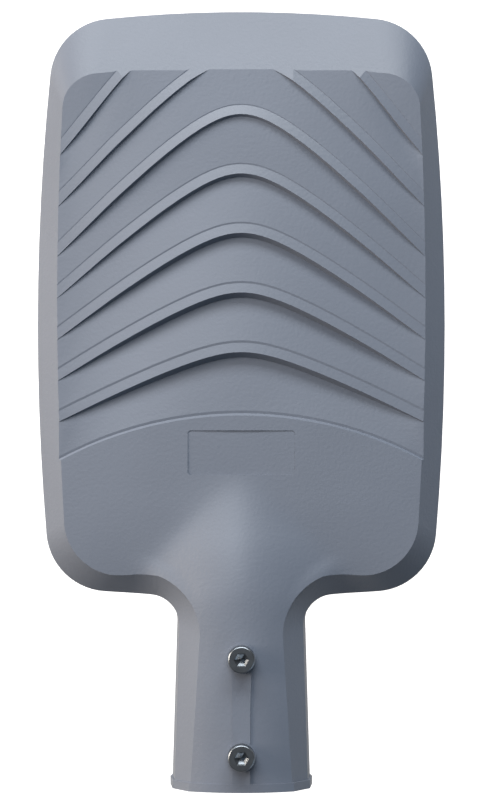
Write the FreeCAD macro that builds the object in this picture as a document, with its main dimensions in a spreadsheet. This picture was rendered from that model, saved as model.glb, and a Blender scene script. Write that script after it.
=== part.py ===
import FreeCAD, Part
import math
import os
import re
import Sketcher
from FreeCAD import Rotation, Vector

# LED street light head: a die-cast housing with a chevron-terraced back, seen from the sky side,
# a pole socket with two clamp screws, a glazed LED bay and a driver bay below.
#
# Frame in millimetres: +Z up to the sky, +Y from the mouth of the pole socket to the far end,
# X across. The origin is the centre of the socket's mouth, on the socket's axis.

SIZES = [
    ("body_length", 390, "mouth of the pole socket to the far end"),
    ("head_half_width", 102.6, "half of the head's greatest width"),
    ("widest_at", 232, "station where the head is widest"),
    ("side_radius", 1265, "plan radius of the long sides"),
    ("end_radius", 664, "plan radius of the far end"),
    ("far_corner", 31.5, "plan radius of the far corners"),
    ("near_corner", 31.4, "plan radius of the corners beside the neck"),
    ("shoulder_at", 93.8, "station of the shoulder line at the middle"),
    ("shoulder_slope", 0.061, "slope of the shoulder line in plan"),
    ("neck_half", 33.4, "half width of the neck at the bevel's foot, at the mouth"),
    ("neck_slope", 0.03, "taper of the neck in plan"),
    ("notch_radius", 15.3, "plan radius between shoulder and neck"),
    ("bevel_side", 10.6, "plan width of the bevel along the sides"),
    ("bevel_end", 30.4, "plan width of the bevel at the far end"),
    ("bevel_shoulder", 14.1, "plan width of the bevel at the shoulder"),
    ("bevel_neck", 7.9, "plan width of the bevel along the neck"),
    ("bevel_rise", 12, "height of the bevel"),
    ("crest_shift", 18, "how much further the bevel's upper edge is widest"),
    ("crest_side_radius", 2230, "plan radius of the bevel's upper edge along the sides"),
    ("crest_end_radius", 8000, "plan radius of the bevel's upper edge at the far end"),
    ("crest_far_corner", 16, "far corner radius of the bevel's upper edge"),
    ("crest_near_corner", 26.7, "near corner radius of the bevel's upper edge"),
    ("crest_slope", -0.039, "slope of the bevel's upper edge at the shoulder"),
    ("crest_neck_slope", 0.0456, "taper of the bevel's upper edge along the neck"),
    ("crest_notch", 32.1, "notch radius of the bevel's upper edge"),
    ("skirt_flare", 1.5, "how far the neck's side wall stands out below the bevel"),
    ("skirt_draft", 0.4, "how far the head's side wall draws in below the bevel"),
    ("rim_height", 8, "height of the head's side wall, underside to bevel"),
    ("neck_rim_height", 18, "height of the neck's side wall above the socket's axis"),
    ("ridge_height", 35.9, "top of the neck above the socket's axis"),
    ("ridge_radius", 55, "section radius of the neck's arched back"),
    ("ridge_end", 88, "station where the ridge starts to fall"),
    ("ridge_bend", 42, "length over which the ridge's fall grows"),
    ("ridge_fall", 0.335, "slope of the ridge where it dives into the dome"),
    ("ridge_spread", 1.3, "how fast the ridge's section radius grows as it falls"),
    ("blend", 1.5, "softness of the hollow between ridge and dome"),
    ("dome_rise", 3.0, "crown of the dome beside the rim"),
    ("dome_sink", 0.75, "share of the notch radius over which the dome sinks to the shoulder"),
    ("dome_edge", 203.1, "far end to the dome's arched edge, at the middle"),
    ("dome_radius", 193, "plan radius of the dome's arched edge"),
    ("dome_step", 0.9, "height of the dome's edge above the last terrace"),
    ("dome_ramp", 0.9, "width of the ramp up to the dome's edge"),
    ("terrace_gap", 0.5, "bevel's upper edge to where the chevrons end"),
    ("first_rib", 52.9, "far end to the first whole rib, at the middle"),
    ("first_rib_side", 123.4, "far end to the first whole rib, at the sides"),
    ("rib_pitch", 29.7, "pitch of the ribs at the middle"),
    ("rib_side_pitch", 20.8, "pitch of the ribs at the sides"),
    ("short_rib_pitch", 28.6, "first whole rib to the cut-off rib before it, extended to the middle"),
    ("outer_rib_pitch", 39.2, "that rib to the corner rib, extended to the middle"),
    ("short_rib_side_pitch", 24.4, "pitch of the two cut-off ribs at the sides"),
    ("rib_bend", 0.227, "roundness of the ribs' apex"),
    ("rib_sweep", 0.141, "share of the ribs' curve that grows with the square"),
    ("rib_fade", 3, "power by which the ribs run out towards the sides"),
    ("crown_height", 6.5, "crown of the terraces above the rim"),
    ("crown_end", 205, "length of the terraces' crown from the far bevel"),
    ("band_width", 4.7, "width of the bright ramp along each rib"),
    ("band_rise", 1.7, "rise of the ramp of the first rib"),
    ("band_loss", 0.27, "less rise in each following ramp"),
    ("groove_width", 0.6, "width of the fine groove along a rib's ramp"),
    ("groove_growth", 0.15, "more width in each following groove"),
    ("groove_slope", 0.2, "slope of the groove's far side"),
    ("first_drop", 2.2, "drop behind the first rib, at the middle"),
    ("largest_drop", 5.2, "drop behind the last rib, at the middle"),
    ("arm_drop", 1.2, "further drop on the arms of the cut-off ribs and the first whole rib"),
    ("side_drop", 0.25, "drop left where a rib meets the bevel"),
    ("drop_lean", 0.5, "lean of the drop walls"),
    ("socket_radius", 27.5, "bore of the pole socket"),
    ("socket_depth", 80, "depth of the pole socket"),
    ("barrel_mouth", 34.5, "outer radius of the socket's lower half at the mouth"),
    ("barrel_end", 31.4, "outer radius of the socket's lower half at its inner end"),
    ("stop_wall", 4, "socket's end to the end of the barrel"),
    ("nose_radius", 15.2, "radius of the nose that holds the cable gland"),
    ("gland_recess", 12.2, "radius of the recess for the cable gland"),
    ("gland_wall", 8, "thickness of the wall that holds the cable gland"),
    ("collar_length", 4.3, "length of the raised collar at the mouth"),
    ("collar_raise", 1.0, "how far the collar stands out"),
    ("first_bolt", 18.0, "mouth to the first clamp screw"),
    ("bolt_pitch", 48.5, "distance between the clamp screws"),
    ("bolt_boss_radius", 7.4, "radius of the pads under the clamp screws"),
    ("bolt_boss_raise", 1.1, "height of the pads above the ridge"),
    ("bolt_radius", 4, "thread radius of the clamp screws"),
    ("bolt_head_radius", 6.65, "head radius of the clamp screws"),
    ("bolt_head_height", 8, "head height of the clamp screws"),
    ("bolt_key", 3, "half of the clamp screws' hexagon sockets, across flats"),
    ("bolt_key_depth", 4.6, "depth of those sockets"),
    ("bolt_chamfer", 0.8, "chamfer of the clamp screws' heads"),
    ("bolt_tip_gap", 0.5, "socket to the tips of the clamp screws"),
    ("thread_clearance", 0.1, "room round a screw in its thread"),
    ("lap", 1, "how far a cut or a pad runs past what it meets"),
    ("hole_reserve", 1, "room past the tip of a frame or cover screw"),
    ("roof_reserve", 0.3, "room past the tip of a lens or bay screw"),
    ("strip_half", 4.4, "half width of the raised strip between the clamp screws"),
    ("strip_flare", 0.9, "how much wider the strip is at the far clamp screw, on each side"),
    ("strip_raise", 0.7, "height of the strip above the ridge"),
    ("boss_root", 2, "socket's bore to the foot of the pads and the strip"),
    ("label_half", 26.8, "half width of the shallow recess for a plate"),
    ("label_gap", 7.7, "dome's edge to that recess"),
    ("label_length", 22.2, "length of that recess"),
    ("label_corner", 1.7, "corner radius of that recess"),
    ("label_depth", 0.7, "depth of that recess"),
    ("label_room", 4, "height that is cut free above that recess"),
    ("glass_side", 19.1, "widest side of the head to the glass"),
    ("glass_start", 20, "driver bay to the glass"),
    ("glass_end", 24, "far end of the head to the glass"),
    ("glass_corner", 14, "corner radius of the glass"),
    ("glass_thickness", 4, "thickness of the glass"),
    ("glass_gap", 0.6, "room round the glass"),
    ("gasket_thickness", 1.2, "glass gasket, pressed"),
    ("ledge", 6, "width of the ledge that the glass is pressed on"),
    ("gasket_inset", 0.5, "inner edge of the ledge to the glass gasket"),
    ("led_ceiling", 15, "height of the face that the LED board is fixed to"),
    ("frame_margin", 8.5, "how far the glass frame reaches past the glass"),
    ("frame_lap", 2.5, "how far the glass frame laps over the glass"),
    ("frame_thickness", 2.5, "thickness of the glass frame"),
    ("frame_corner", 22, "corner radius of the glass frame"),
    ("screw_margin", 4.3, "edge of a frame or cover to its screws"),
    ("frame_screw_share", 0.12, "end of the glass to its first side screw, as a share of its length"),
    ("cover_screw_share", 0.2, "end of the bay to its first side screw, as a share of its length"),
    ("bay_side", 24.6, "widest side of the head to the driver bay"),
    ("bay_start", 16.2, "shoulder line to the near wall of the driver bay"),
    ("bay_length", 76, "near wall to far wall of the driver bay"),
    ("bay_corner", 18, "corner radius of the driver bay"),
    ("bay_ceiling", 15, "height of the driver bay's roof"),
    ("bay_floor", -16, "height of the flange that the cover closes"),
    ("flange", 10, "width of that flange"),
    ("tub_draft", 3, "draft of the driver bay's outer walls, degrees"),
    ("cover_gasket_thickness", 1, "cover gasket, pressed"),
    ("cover_thickness", 3, "thickness of the driver cover"),
    ("cover_lip", 2, "height of the cover's locating lip"),
    ("lip_width", 2, "width of the locating lip"),
    ("lip_gap", 0.8, "room round the locating lip"),
    ("panel_inset", 12, "edge of the cover to its sunk panel"),
    ("panel_depth", 1, "depth of the sunk panel"),
    ("small_screw_radius", 2, "thread radius of the frame, cover and bay screws"),
    ("small_head_radius", 3.5, "head radius of those screws"),
    ("small_head_height", 2.8, "head height of those screws"),
    ("small_key", 1.25, "half of those screws' hexagon sockets, across flats"),
    ("small_key_depth", 1.7, "depth of those sockets"),
    ("small_hole_gap", 0.3, "room round a screw in a frame, cover or gasket"),
    ("small_hex", 3.5, "half of the bay screws' hexagon heads, across flats"),
    ("edge_chamfer", 0.8, "chamfer of the glass frame's and the cover's outer edges"),
    ("frame_screw_reach", 7, "depth of a frame screw in the housing"),
    ("cover_screw_reach", 9, "depth of a cover screw in the housing"),
    ("bay_screw_reach", 3.2, "depth of a bay screw in the roof"),
    ("pad_thickness", 0.3, "thermal pad behind the LED board"),
    ("board_side", 9, "side of the glass to the LED board"),
    ("board_end", 14, "ends of the glass to the LED board"),
    ("board_thickness", 1.6, "thickness of the LED board"),
    ("board_corner", 4, "corner radius of the LED board"),
    ("chip_side", 5, "side of an LED"),
    ("chip_height", 0.7, "height of an LED"),
    ("lens_side", 11.5, "side of the glass to the field of lenses"),
    ("lens_end", 17, "ends of the glass to the field of lenses"),
    ("lens_share", 0.39, "radius of a lens at its foot, as a share of the lens pitch"),
    ("lens_height", 4.8, "height of a lens"),
    ("lens_plate_thickness", 3, "thickness of the lens plate"),
    ("lens_hollow", 1.1, "depth of the channels over the rows of LEDs"),
    ("channel_half", 4, "half width of those channels"),
    ("channel_end", 3, "edge of the lens plate to the end of a channel"),
    ("lens_land_share", 0.22, "radius of a lens's flat top, as a share of the lens pitch"),
    ("lens_plate_inset", 1.2, "edge of the LED board to the lens plate"),
    ("lens_screw_radius", 1.5, "thread radius of the lens plate's screws"),
    ("lens_head_radius", 2.75, "head radius of the lens plate's screws"),
    ("lens_head_height", 2, "head height of the lens plate's screws"),
    ("lens_screw_reach", 3, "depth of a lens plate's screw in the housing"),
    ("driver_side", 12, "side of the bay to the LED driver"),
    ("driver_width", 44, "width of the LED driver"),
    ("driver_height", 24, "height of the LED driver"),
    ("driver_margin", 3, "LED driver to the far wall of its bay"),
    ("ear_length", 10, "length of the driver's fixing ears"),
    ("ear_thickness", 2.5, "thickness of a fixing ear"),
    ("ear_inset", 8, "long edge of the driver to its ears"),
    ("driver_screw_share", 0.3, "long edge of the driver to its screws, as a share of its width"),
    ("case_chamfer", 1.5, "chamfer of the driver's and the surge protector's cases"),
    ("block_length", 30, "length of the terminal block"),
    ("block_width", 16, "width of the terminal block"),
    ("block_height", 17, "height of the terminal block"),
    ("block_at", 24, "socket axis to the terminal block"),
    ("block_screw_share", 0.35, "end of the block to its screws, as a share of its length"),
    ("wire_share", 0.17, "end of the block to its first wire hole, as a share of its length"),
    ("wire_rise", 7.2, "roof of the bay to the wire holes"),
    ("wire_hole_depth", 6.4, "depth of the wire holes"),
    ("surge_length", 36, "length of the surge protector"),
    ("surge_width", 18, "width of the surge protector"),
    ("surge_height", 24, "height of the surge protector"),
    ("surge_at", 20, "socket axis to the surge protector"),
    ("surge_ear", 9, "length of the surge protector's ears"),
    ("surge_ear_inset", 3.6, "long edge of the surge protector to its ears"),
    ("wall_gap", 3, "near wall of the bay to what stands beside it"),
    ("wire_hole", 2.4, "radius of the wire holes of the terminal block"),
    ("earth_side", 8, "side of the bay to the earth screw"),
    ("earth_station", 130.5, "mouth to the earth screw"),
    ("washer_thickness", 1, "thickness of the earth washer"),
    ("washer_margin", 1, "how far the earth washer stands out past the screw"),
    ("gland_radius", 8, "thread radius of the cable gland"),
    ("gland_hex", 10, "half of the cable gland's hexagon, across flats"),
    ("gland_hex_length", 6, "length of the gland's hexagon"),
    ("gland_nut_length", 11, "length of the gland's dome nut"),
    ("gland_nut_radius", 10.6, "outer radius of the gland's dome nut"),
    ("gland_lock_length", 4, "length of the gland's lock nut"),
    ("gland_stub", 2.5, "gland's thread past its lock nut"),
    ("gland_cup", 6.6, "radius of the gland's cup for the seal"),
    ("gland_cup_at", 4, "end of the dome nut to the gland's cup"),
    ("gland_cup_depth", 4, "depth of the cup's cone"),
    ("gland_room", 1, "room round the cable in the gland"),
    ("gland_dome", 3, "how far the dome nut narrows at its end"),
    ("gland_dome_length", 4, "length of the dome nut's narrowed end"),
    ("gland_lid", 2, "thickness of the dome nut's end at the cable"),
    ("gland_seat", 3, "thickness of the dome nut's end at its thread"),
    ("seal_at", 3.2, "end of the dome nut to the seal"),
    ("seal_depth", 3.5, "how far the seal reaches into the cup"),
    ("seal_wall", 0.8, "thickness of the seal's thin end"),
    ("gland_step", 0.2, "room between the gland's seal, cup and dome nut"),
    ("cable_radius", 4.2, "radius of the cable that the gland takes"),
    ("vent_radius", 6, "thread radius of the vent plug"),
    ("vent_head_radius", 9, "head radius of the vent plug"),
    ("vent_head_height", 5, "head height of the vent plug"),
    ("vent_head_chamfer", 1, "height of the sloped edge of the vent plug's head"),
    ("vent_rim", 7.2, "inner radius of that edge"),
    ("vent_dish", 6.3, "radius of the dish in the vent plug's head"),
    ("vent_dish_height", 2, "height of the dish's floor"),
    ("vent_boss", 3, "height of the boss in the cover that the vent plug is screwed in"),
    ("vent_boss_wall", 3, "wall of that boss round the vent plug"),
    ("vent_stub", 1.5, "vent plug's thread past that boss"),
    ("vent_bore", 1.5, "radius of the vent plug's channel"),
    ("vent_at", 50, "socket axis to the vent plug"),
    ("vent_station", 148, "mouth to the vent plug"),
    ("grommet_gap", 0.1, "room round the wire grommet"),
    ("passage_radius", 3.4, "radius of the wire passage between the bays"),
    ("passage_at", 54, "socket axis to the wire passage"),
    ("passage_height", 9.8, "height of the wire passage"),
    ("grommet_bore", 2.2, "bore radius of the wire grommet"),
    ("grommet_lip", 1.5, "how far the grommet's lips stand out"),
]

LENS_COLUMNS, LENS_ROWS = 8, 6
DERIVED = {
    "terrace_half": "(head_half_width - bevel_side - terrace_gap)",
    "bay_half": "(head_half_width - bay_side)",
    "bay_near": "(shoulder_at + bay_start)",
    "bay_far": "(shoulder_at + bay_start + bay_length)",
    "glass_half": "(head_half_width - glass_side)",
    "glass_near": "(shoulder_at + bay_start + bay_length + glass_start)",
    "glass_far": "(body_length - glass_end)",
    "gland_depth": "(shoulder_at + bay_start - gland_wall)",
    "barrel_length": "(socket_depth + stop_wall)",
    "label_far": "(body_length - dome_edge - label_gap)",
    "label_near": "(body_length - dome_edge - label_gap - label_length)",
}
DERIVED["board_half"] = f"({DERIVED['glass_half']} - board_side)"
DERIVED["board_length"] = f"({DERIVED['glass_far']} - {DERIVED['glass_near']} - 2 * board_end)"
DERIVED["lens_plate_half"] = f"({DERIVED['board_half']} - lens_plate_inset)"
DERIVED["lens_plate_length"] = f"({DERIVED['board_length']} - 2 * lens_plate_inset)"
DERIVED["lens_pitch_x"] = f"(2 * ({DERIVED['glass_half']} - lens_side) / {LENS_COLUMNS})"
DERIVED["lens_pitch_y"] = f"(({DERIVED['glass_far']} - {DERIVED['glass_near']} - 2 * lens_end) / {LENS_ROWS})"
DERIVED["lens_radius"] = f"({DERIVED['lens_pitch_x']} * lens_share)"
DERIVED["lens_land"] = f"({DERIVED['lens_pitch_x']} * lens_land_share)"
DERIVED["driver_half"] = f"({DERIVED['bay_half']} - driver_side)"
DERIVED["earth_at"] = f"({DERIVED['bay_half']} - earth_side)"
ALIASES = {alias for alias, _, _ in SIZES}

doc = FreeCAD.newDocument("street_light_head")
sheet = doc.addObject("Spreadsheet::Sheet", "sizes")
for row, (alias, number, meaning) in enumerate(SIZES, start=1):
    sheet.set(f"A{row}", meaning)
    sheet.set(f"B{row}", str(number))
    sheet.setAlias(f"B{row}", alias)
doc.recompute()


def spelled(expression):
    """The expression with each worked-out size written out in the sheet's own names."""
    words = re.split(r"(\w+)", expression)
    return "".join(DERIVED.get(word, word) for word in words)


def named(expression):
    """The expression as other objects need it, with the sheet's name before each size."""
    words = re.split(r"(\w+)", spelled(expression))
    return "".join("sizes." + word if word in ALIASES else word for word in words)


def value(expression):
    """Number of an expression of the sheet's names."""
    return float(sheet.evalExpression(spelled(expression)))


class Values:
    """The sizes by name, for the shapes that are worked out in code."""

    def __init__(self):
        self.known = {}

    def __getattr__(self, alias):
        if alias not in self.known:
            self.known[alias] = value(alias)
        return self.known[alias]


size = Values()
BEYOND = 1.2        # the bevel is built this much past its crest, and the top trims it
SKY = 60.0          # height that every cutting tool reaches
ARM_SHARES = [0, 0.065, 0.13, 0.2, 0.275, 0.37, 0.49, 0.625, 0.77, 0.92, 1.085]
SHOULDER_STEPS = 10
BACK_ROWS = 26
TOOL_LAP = 0.6      # how far a cutting tool runs past the edge that it leaves
TOOL_REACH = 12.0   # how far the tools reach past the head's outline
DOME_LAP = 3.6      # how far the dome's tool runs past its arched edge
SLOPE_STEP = 0.5    # step across a rib over which its slope in plan is taken
WHOLE_RIBS = 5
SHARE_STEPS = 200   # steps in which a rib is followed to find where it comes in
TOLERANCE = 1e-4
OUTER_SHARE = 0.9   # share of a plate's half width past which an edge counts as outer
SHORT_EDGE = 5.0    # edges of a hole are shorter than this
SHOULDER_SHARE = 0.55   # share of the straight shoulder line that keeps the head's height


def far_bevel():
    """Station of the far bevel's crest."""
    return size.body_length - size.bevel_end


def crown(x, y):
    """Height of the terraces' crown above the bevel's crest."""
    along = (far_bevel() - y) / size.crown_end
    across = 1 - (x / size.terrace_half) ** 2
    return size.crown_height * math.sin(math.pi * along) * across


def crest_height():
    return size.rim_height + size.bevel_rise


def dome(x, y):
    """Gently crowned back between the terraces and the shoulder."""
    shoulder = size.shoulder_at + size.bevel_shoulder
    run = size.dome_sink * size.notch_radius + size.crest_near_corner
    near = max(0.0, (shoulder + run - y) / run)
    return crest_height() + size.dome_rise * (1 - (x / size.terrace_half) ** 2) * (1 - near ** 2)


def ridge(x, y):
    """Arched back of the neck, falling into the dome."""
    past = max(0.0, y - size.ridge_end)
    bend = min(past, size.ridge_bend)
    fall = size.ridge_fall * (bend ** 2 / (2 * size.ridge_bend) + past - bend)
    radius = size.ridge_radius + size.ridge_spread * past
    return size.ridge_height - fall - x ** 2 / (2 * radius)


def back_height(x, y):
    """Dome and ridge, with a soft hollow between them."""
    high, low = dome(x, y), ridge(x, y)
    return (high + low + math.hypot(high - low, 2 * size.blend)) / 2


def dome_arc(x):
    """Station of the dome's arched edge."""
    middle = size.body_length - size.dome_edge
    return middle - size.dome_radius + math.sqrt(size.dome_radius ** 2 - x ** 2)


def rib_curve(share):
    """Plan curve of a rib from 0 at its apex to 1 at the side."""
    bend = size.rib_bend
    arm = (math.hypot(share, bend) - bend) / (math.hypot(1, bend) - bend)
    return (1 - size.rib_sweep) * arm + size.rib_sweep * share ** 2


class Rib:
    """One chevron: where it runs, how high it stands and how far it drops."""

    def __init__(self, apex, side, drop, rise, raised, groove):
        self.apex, self.side, self.drop, self.rise, self.raised = apex, side, drop, rise, raised
        self.groove = groove
        shares = [k / SHARE_STEPS for k in range(SHARE_STEPS)]
        self.start = next((s for s in shares if apex - (apex - side) * rib_curve(s) < far_bevel()), 0)

    def at(self, x):
        return self.apex - (self.apex - self.side) * rib_curve(abs(x) / size.terrace_half)

    def swell(self, x):
        """1 where the rib stands full, 0 where it runs out at the side."""
        return 1 - (abs(x) / size.terrace_half) ** size.rib_fade

    def top(self, x):
        """Height of the edge: a raised rib stands on the crown, and the others are cut into it."""
        on_crown = crest_height() + crown(x, self.at(x))
        return on_crown + self.rise * self.swell(x) if self.raised else on_crown

    def bulge(self, x):
        """0 where a rib comes in from behind the far bevel and at the side, 1 on its arm."""
        along = max(0.0, (abs(x) / size.terrace_half - self.start) / (1 - self.start))
        return 27 / 4 * along ** 2 * (1 - along)

    def foot(self, x):
        swell = self.swell(x)
        more = size.arm_drop * self.bulge(x) if self.raised else 0.0
        return self.top(x) - self.drop * swell - size.side_drop * (1 - swell) - more

    def crease(self, x):
        """Where the ramp before the rib begins: station and height."""
        slope = (self.at(abs(x) + SLOPE_STEP) - self.at(abs(x))) / SLOPE_STEP
        y = self.at(x) + size.band_width * math.hypot(1, slope)
        level = crest_height() + crown(x, y) if self.raised else self.top(x) - self.rise * self.swell(x)
        return y, level


def ribs():
    """The corner rib, the cut-off rib, and the whole ribs, from the far end on."""
    first = size.body_length - size.first_rib
    first_side = size.body_length - size.first_rib_side
    short = first + size.short_rib_pitch
    outer = short + size.outer_rib_pitch
    rise, groove = size.band_rise, size.groove_width
    found = [Rib(outer, first_side + 2 * size.short_rib_side_pitch, rise, rise, True, groove),
             Rib(short, first_side + size.short_rib_side_pitch, rise, rise, True, groove)]
    for k in range(WHOLE_RIBS):
        growth = math.sin(math.pi / 2 * k / (WHOLE_RIBS - 1))
        drop = size.first_drop + (size.largest_drop - size.first_drop) * growth
        found.append(Rib(first - k * size.rib_pitch, first_side - k * size.rib_side_pitch, drop,
                         rise - k * size.band_loss, k == 0, groove + k * size.groove_growth))
    return found


def arm_stations():
    """Stations across the back where the cutting tools have their sections."""
    right = [share * size.terrace_half for share in ARM_SHARES]
    return [-x for x in reversed(right[1:])] + right


def terrace_tool(before, after):
    """What is cut away above one terrace, between the drop of one rib and the next rib's crest."""
    sections = []
    for x in arm_stations():
        if after is None:
            y = dome_arc(x)
            high = dome(x, y)
            foot, wide = high - size.dome_step, size.groove_width + WHOLE_RIBS * size.groove_growth
            end = [(y + size.dome_ramp + wide, foot), (y + size.dome_ramp, foot - wide * size.groove_slope),
                   (y - TOOL_LAP, high + TOOL_LAP * size.dome_step / size.dome_ramp), (y - TOOL_LAP, SKY)]
        else:
            y, top = after.at(x), after.top(x)
            crease_y, crease_z = after.crease(x)
            bottom = crease_z - after.groove * size.groove_slope
            climb = (top - bottom) / (crease_y - y)
            end = [(crease_y + after.groove, crease_z), (crease_y, bottom),
                   (y - TOOL_LAP, top + TOOL_LAP * climb), (y - TOOL_LAP, SKY)]
        if before is None:
            beyond = size.body_length + 3 * TOOL_REACH
            start = [(beyond, SKY), (beyond, crest_height())]
        else:
            y, top, foot = before.at(x), before.top(x), before.foot(x)
            start = [(y + size.drop_lean * (SKY - top), SKY), (y - size.drop_lean * (top - foot), foot)]
        outline = [Vector(x, y, z) for y, z in start + end]
        sections.append(Part.makePolygon(outline + outline[:1]))
    return Part.makeLoft(sections, True, False)


def back_tool():
    """What is cut away above the dome, the ridge and the neck."""
    side = size.head_half_width + TOOL_REACH
    columns = [-side] + arm_stations() + [side]
    grid = []
    for x in columns:
        reach = dome_arc(min(abs(x), size.terrace_half)) + DOME_LAP
        stations = [(reach + TOOL_REACH) * k / BACK_ROWS - TOOL_REACH for k in range(BACK_ROWS + 1)]
        grid.append([Vector(x, y, back_height(x, y)) for y in stations])
    surface = Part.BSplineSurface()
    surface.interpolate(grid)
    return surface.toShape().extrude(Vector(0, 0, SKY))


class Outline:
    """Plan outline of the head and neck: tangent arcs and lines, right half, far end first."""

    def __init__(self, half, widest, side, end, end_radius, far, near, shoulder, slope, neck, taper, notch):
        self.radii = (end_radius, far, side, near, notch)
        self.side_centre = (half - side, widest)
        self.end_centre = (0.0, end - end_radius)
        self.end_point = (0.0, end)
        self.far_centre = self.meet(self.end_centre, end_radius - far, self.side_centre, side - far)
        self.end_touch = self.reach(self.end_centre, self.far_centre, end_radius)
        self.side_touch = self.reach(self.side_centre, self.far_centre, side)
        angle = math.atan(slope)
        along, across = (math.cos(angle), math.sin(angle)), (-math.sin(angle), math.cos(angle))
        base = (across[0] * near, shoulder + across[1] * near)
        gap = (base[0] - self.side_centre[0], base[1] - self.side_centre[1])
        half_b = gap[0] * along[0] + gap[1] * along[1]
        rest = gap[0] ** 2 + gap[1] ** 2 - (side - near) ** 2
        run = -half_b + math.sqrt(half_b ** 2 - rest)
        self.near_centre = (base[0] + run * along[0], base[1] + run * along[1])
        self.side_end = self.reach(self.side_centre, self.near_centre, side)
        self.shoulder_start = (self.near_centre[0] - across[0] * near, self.near_centre[1] - across[1] * near)
        lean = math.atan(taper)
        outward = (math.cos(lean), math.sin(lean))
        right = (-notch + across[1] * shoulder, notch + outward[0] * neck)
        det = across[0] * outward[1] - across[1] * outward[0]
        self.notch_centre = ((right[0] * outward[1] - across[1] * right[1]) / det,
                             (across[0] * right[1] - right[0] * outward[0]) / det)
        self.notch_start = tuple(c + a * notch for c, a in zip(self.notch_centre, across))
        self.notch_end = tuple(c - a * notch for c, a in zip(self.notch_centre, outward))
        self.mouth = (neck, 0.0)

    @staticmethod
    def meet(a, radius_a, b, radius_b):
        """The right-hand far meeting point of two circles."""
        dx, dy = b[0] - a[0], b[1] - a[1]
        apart = math.hypot(dx, dy)
        along = (radius_a ** 2 - radius_b ** 2 + apart ** 2) / (2 * apart)
        off = math.sqrt(radius_a ** 2 - along ** 2)
        foot = (a[0] + along * dx / apart, a[1] + along * dy / apart)
        points = [(foot[0] + s * off * dy / apart, foot[1] - s * off * dx / apart) for s in (1, -1)]
        return max(points, key=lambda p: p[0] + p[1])

    @staticmethod
    def reach(centre, through, radius):
        """Point at the radius from centre, on the line through another point."""
        apart = math.hypot(through[0] - centre[0], through[1] - centre[1])
        return (centre[0] + (through[0] - centre[0]) * radius / apart,
                centre[1] + (through[1] - centre[1]) * radius / apart)

    def shoulder_path(self, steps):
        """Points along the last stretch of the shoulder line and round the notch, with their share."""
        start = tuple(a + (b - a) * SHOULDER_SHARE for a, b in zip(self.shoulder_start, self.notch_start))
        lead = math.dist(start, self.notch_start)
        cx, cy = self.notch_centre
        radius = self.radii[4]
        first = math.atan2(self.notch_start[1] - cy, self.notch_start[0] - cx)
        last = math.atan2(self.notch_end[1] - cy, self.notch_end[0] - cx) % (2 * math.pi)
        length = lead + radius * (last - first)
        points = []
        for k in range(steps + 1):
            share = k / steps
            done = share * length
            if done < lead:
                part = done / lead
                point = tuple(a + (b - a) * part for a, b in zip(start, self.notch_start))
            else:
                angle = first + (done - lead) / radius
                point = (cx + radius * math.cos(angle), cy + radius * math.sin(angle))
            points.append((point, share))
        return points

    def wire(self, head_z, neck_z):
        """Closed wire; its height passes from head to neck round the notch."""
        def arc(a, b, centre, radius):
            middle = ((a[0] + b[0]) / 2, (a[1] + b[1]) / 2)
            top = self.reach(centre, middle, radius)
            return Part.Arc(*(Vector(*p, head_z) for p in (a, top, b))).toShape()

        end_radius, far, side, near, _ = self.radii
        path = self.shoulder_path(SHOULDER_STEPS)
        ease = [(p, share ** 2 * (3 - 2 * share)) for p, share in path]
        bend = Part.BSplineCurve()
        bend.interpolate([Vector(*p, head_z + (neck_z - head_z) * s) for p, s in ease])
        half = [arc(self.end_touch, self.side_touch, self.far_centre, far),
                arc(self.side_touch, self.side_end, self.side_centre, side),
                arc(self.side_end, self.shoulder_start, self.near_centre, near),
                Part.makeLine(Vector(*self.shoulder_start, head_z), Vector(*path[0][0], head_z)),
                bend.toShape(),
                Part.makeLine(Vector(*path[-1][0], neck_z), Vector(*self.mouth, neck_z))]
        other = [e.mirror(Vector(0, 0, 0), Vector(1, 0, 0)) for e in reversed(half)]
        left = (-self.end_touch[0], self.end_touch[1])
        across = Part.makeLine(Vector(*self.mouth, neck_z), Vector(-self.mouth[0], 0, neck_z))
        end = Part.Arc(*(Vector(*p, head_z) for p in (left, self.end_point, self.end_touch))).toShape()
        return Part.Wire(Part.__sortEdges__(half + [across] + other + [end]))


def housing_form():
    """The casting's outside: skirt, bevel, terraces, dome, neck and the collar at its mouth."""
    s = size
    foot = Outline(s.head_half_width, s.widest_at, s.side_radius, s.body_length, s.end_radius, s.far_corner,
                   s.near_corner, s.shoulder_at, s.shoulder_slope, s.neck_half, s.neck_slope, s.notch_radius)
    skirt = Outline(s.head_half_width - s.skirt_draft, s.widest_at, s.side_radius,
                    s.body_length - s.skirt_draft, s.end_radius, s.far_corner, s.near_corner,
                    s.shoulder_at + s.skirt_draft, s.shoulder_slope, s.neck_half + s.skirt_flare,
                    s.neck_slope, s.notch_radius - s.skirt_flare)
    crest = Outline(s.head_half_width - BEYOND * s.bevel_side, s.widest_at + s.crest_shift,
                    s.crest_side_radius, s.body_length - BEYOND * s.bevel_end, s.crest_end_radius,
                    s.crest_far_corner, s.crest_near_corner, s.shoulder_at + BEYOND * s.bevel_shoulder,
                    s.crest_slope, s.neck_half - BEYOND * s.bevel_neck, s.crest_neck_slope, s.crest_notch)
    rise = BEYOND * s.bevel_rise
    wires = [skirt.wire(0, 0), foot.wire(s.rim_height, s.neck_rim_height),
             crest.wire(s.rim_height + rise, s.neck_rim_height + rise), crest.wire(SKY, SKY)]
    block = Part.makeLoft(wires, True, True)
    chevrons = [None] + ribs() + [None]
    tools = [terrace_tool(before, after) for before, after in zip(chevrons, chevrons[1:])]
    form = block.cut(tools + [back_tool()])
    passage = Part.makeCylinder(s.passage_radius, s.glass_start + s.ledge + 2 * s.lap,
                                Vector(s.passage_at, s.bay_far - s.lap, s.passage_height), Vector(0, 1, 0))
    return form.fuse(collar()).cut(passage)


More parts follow.
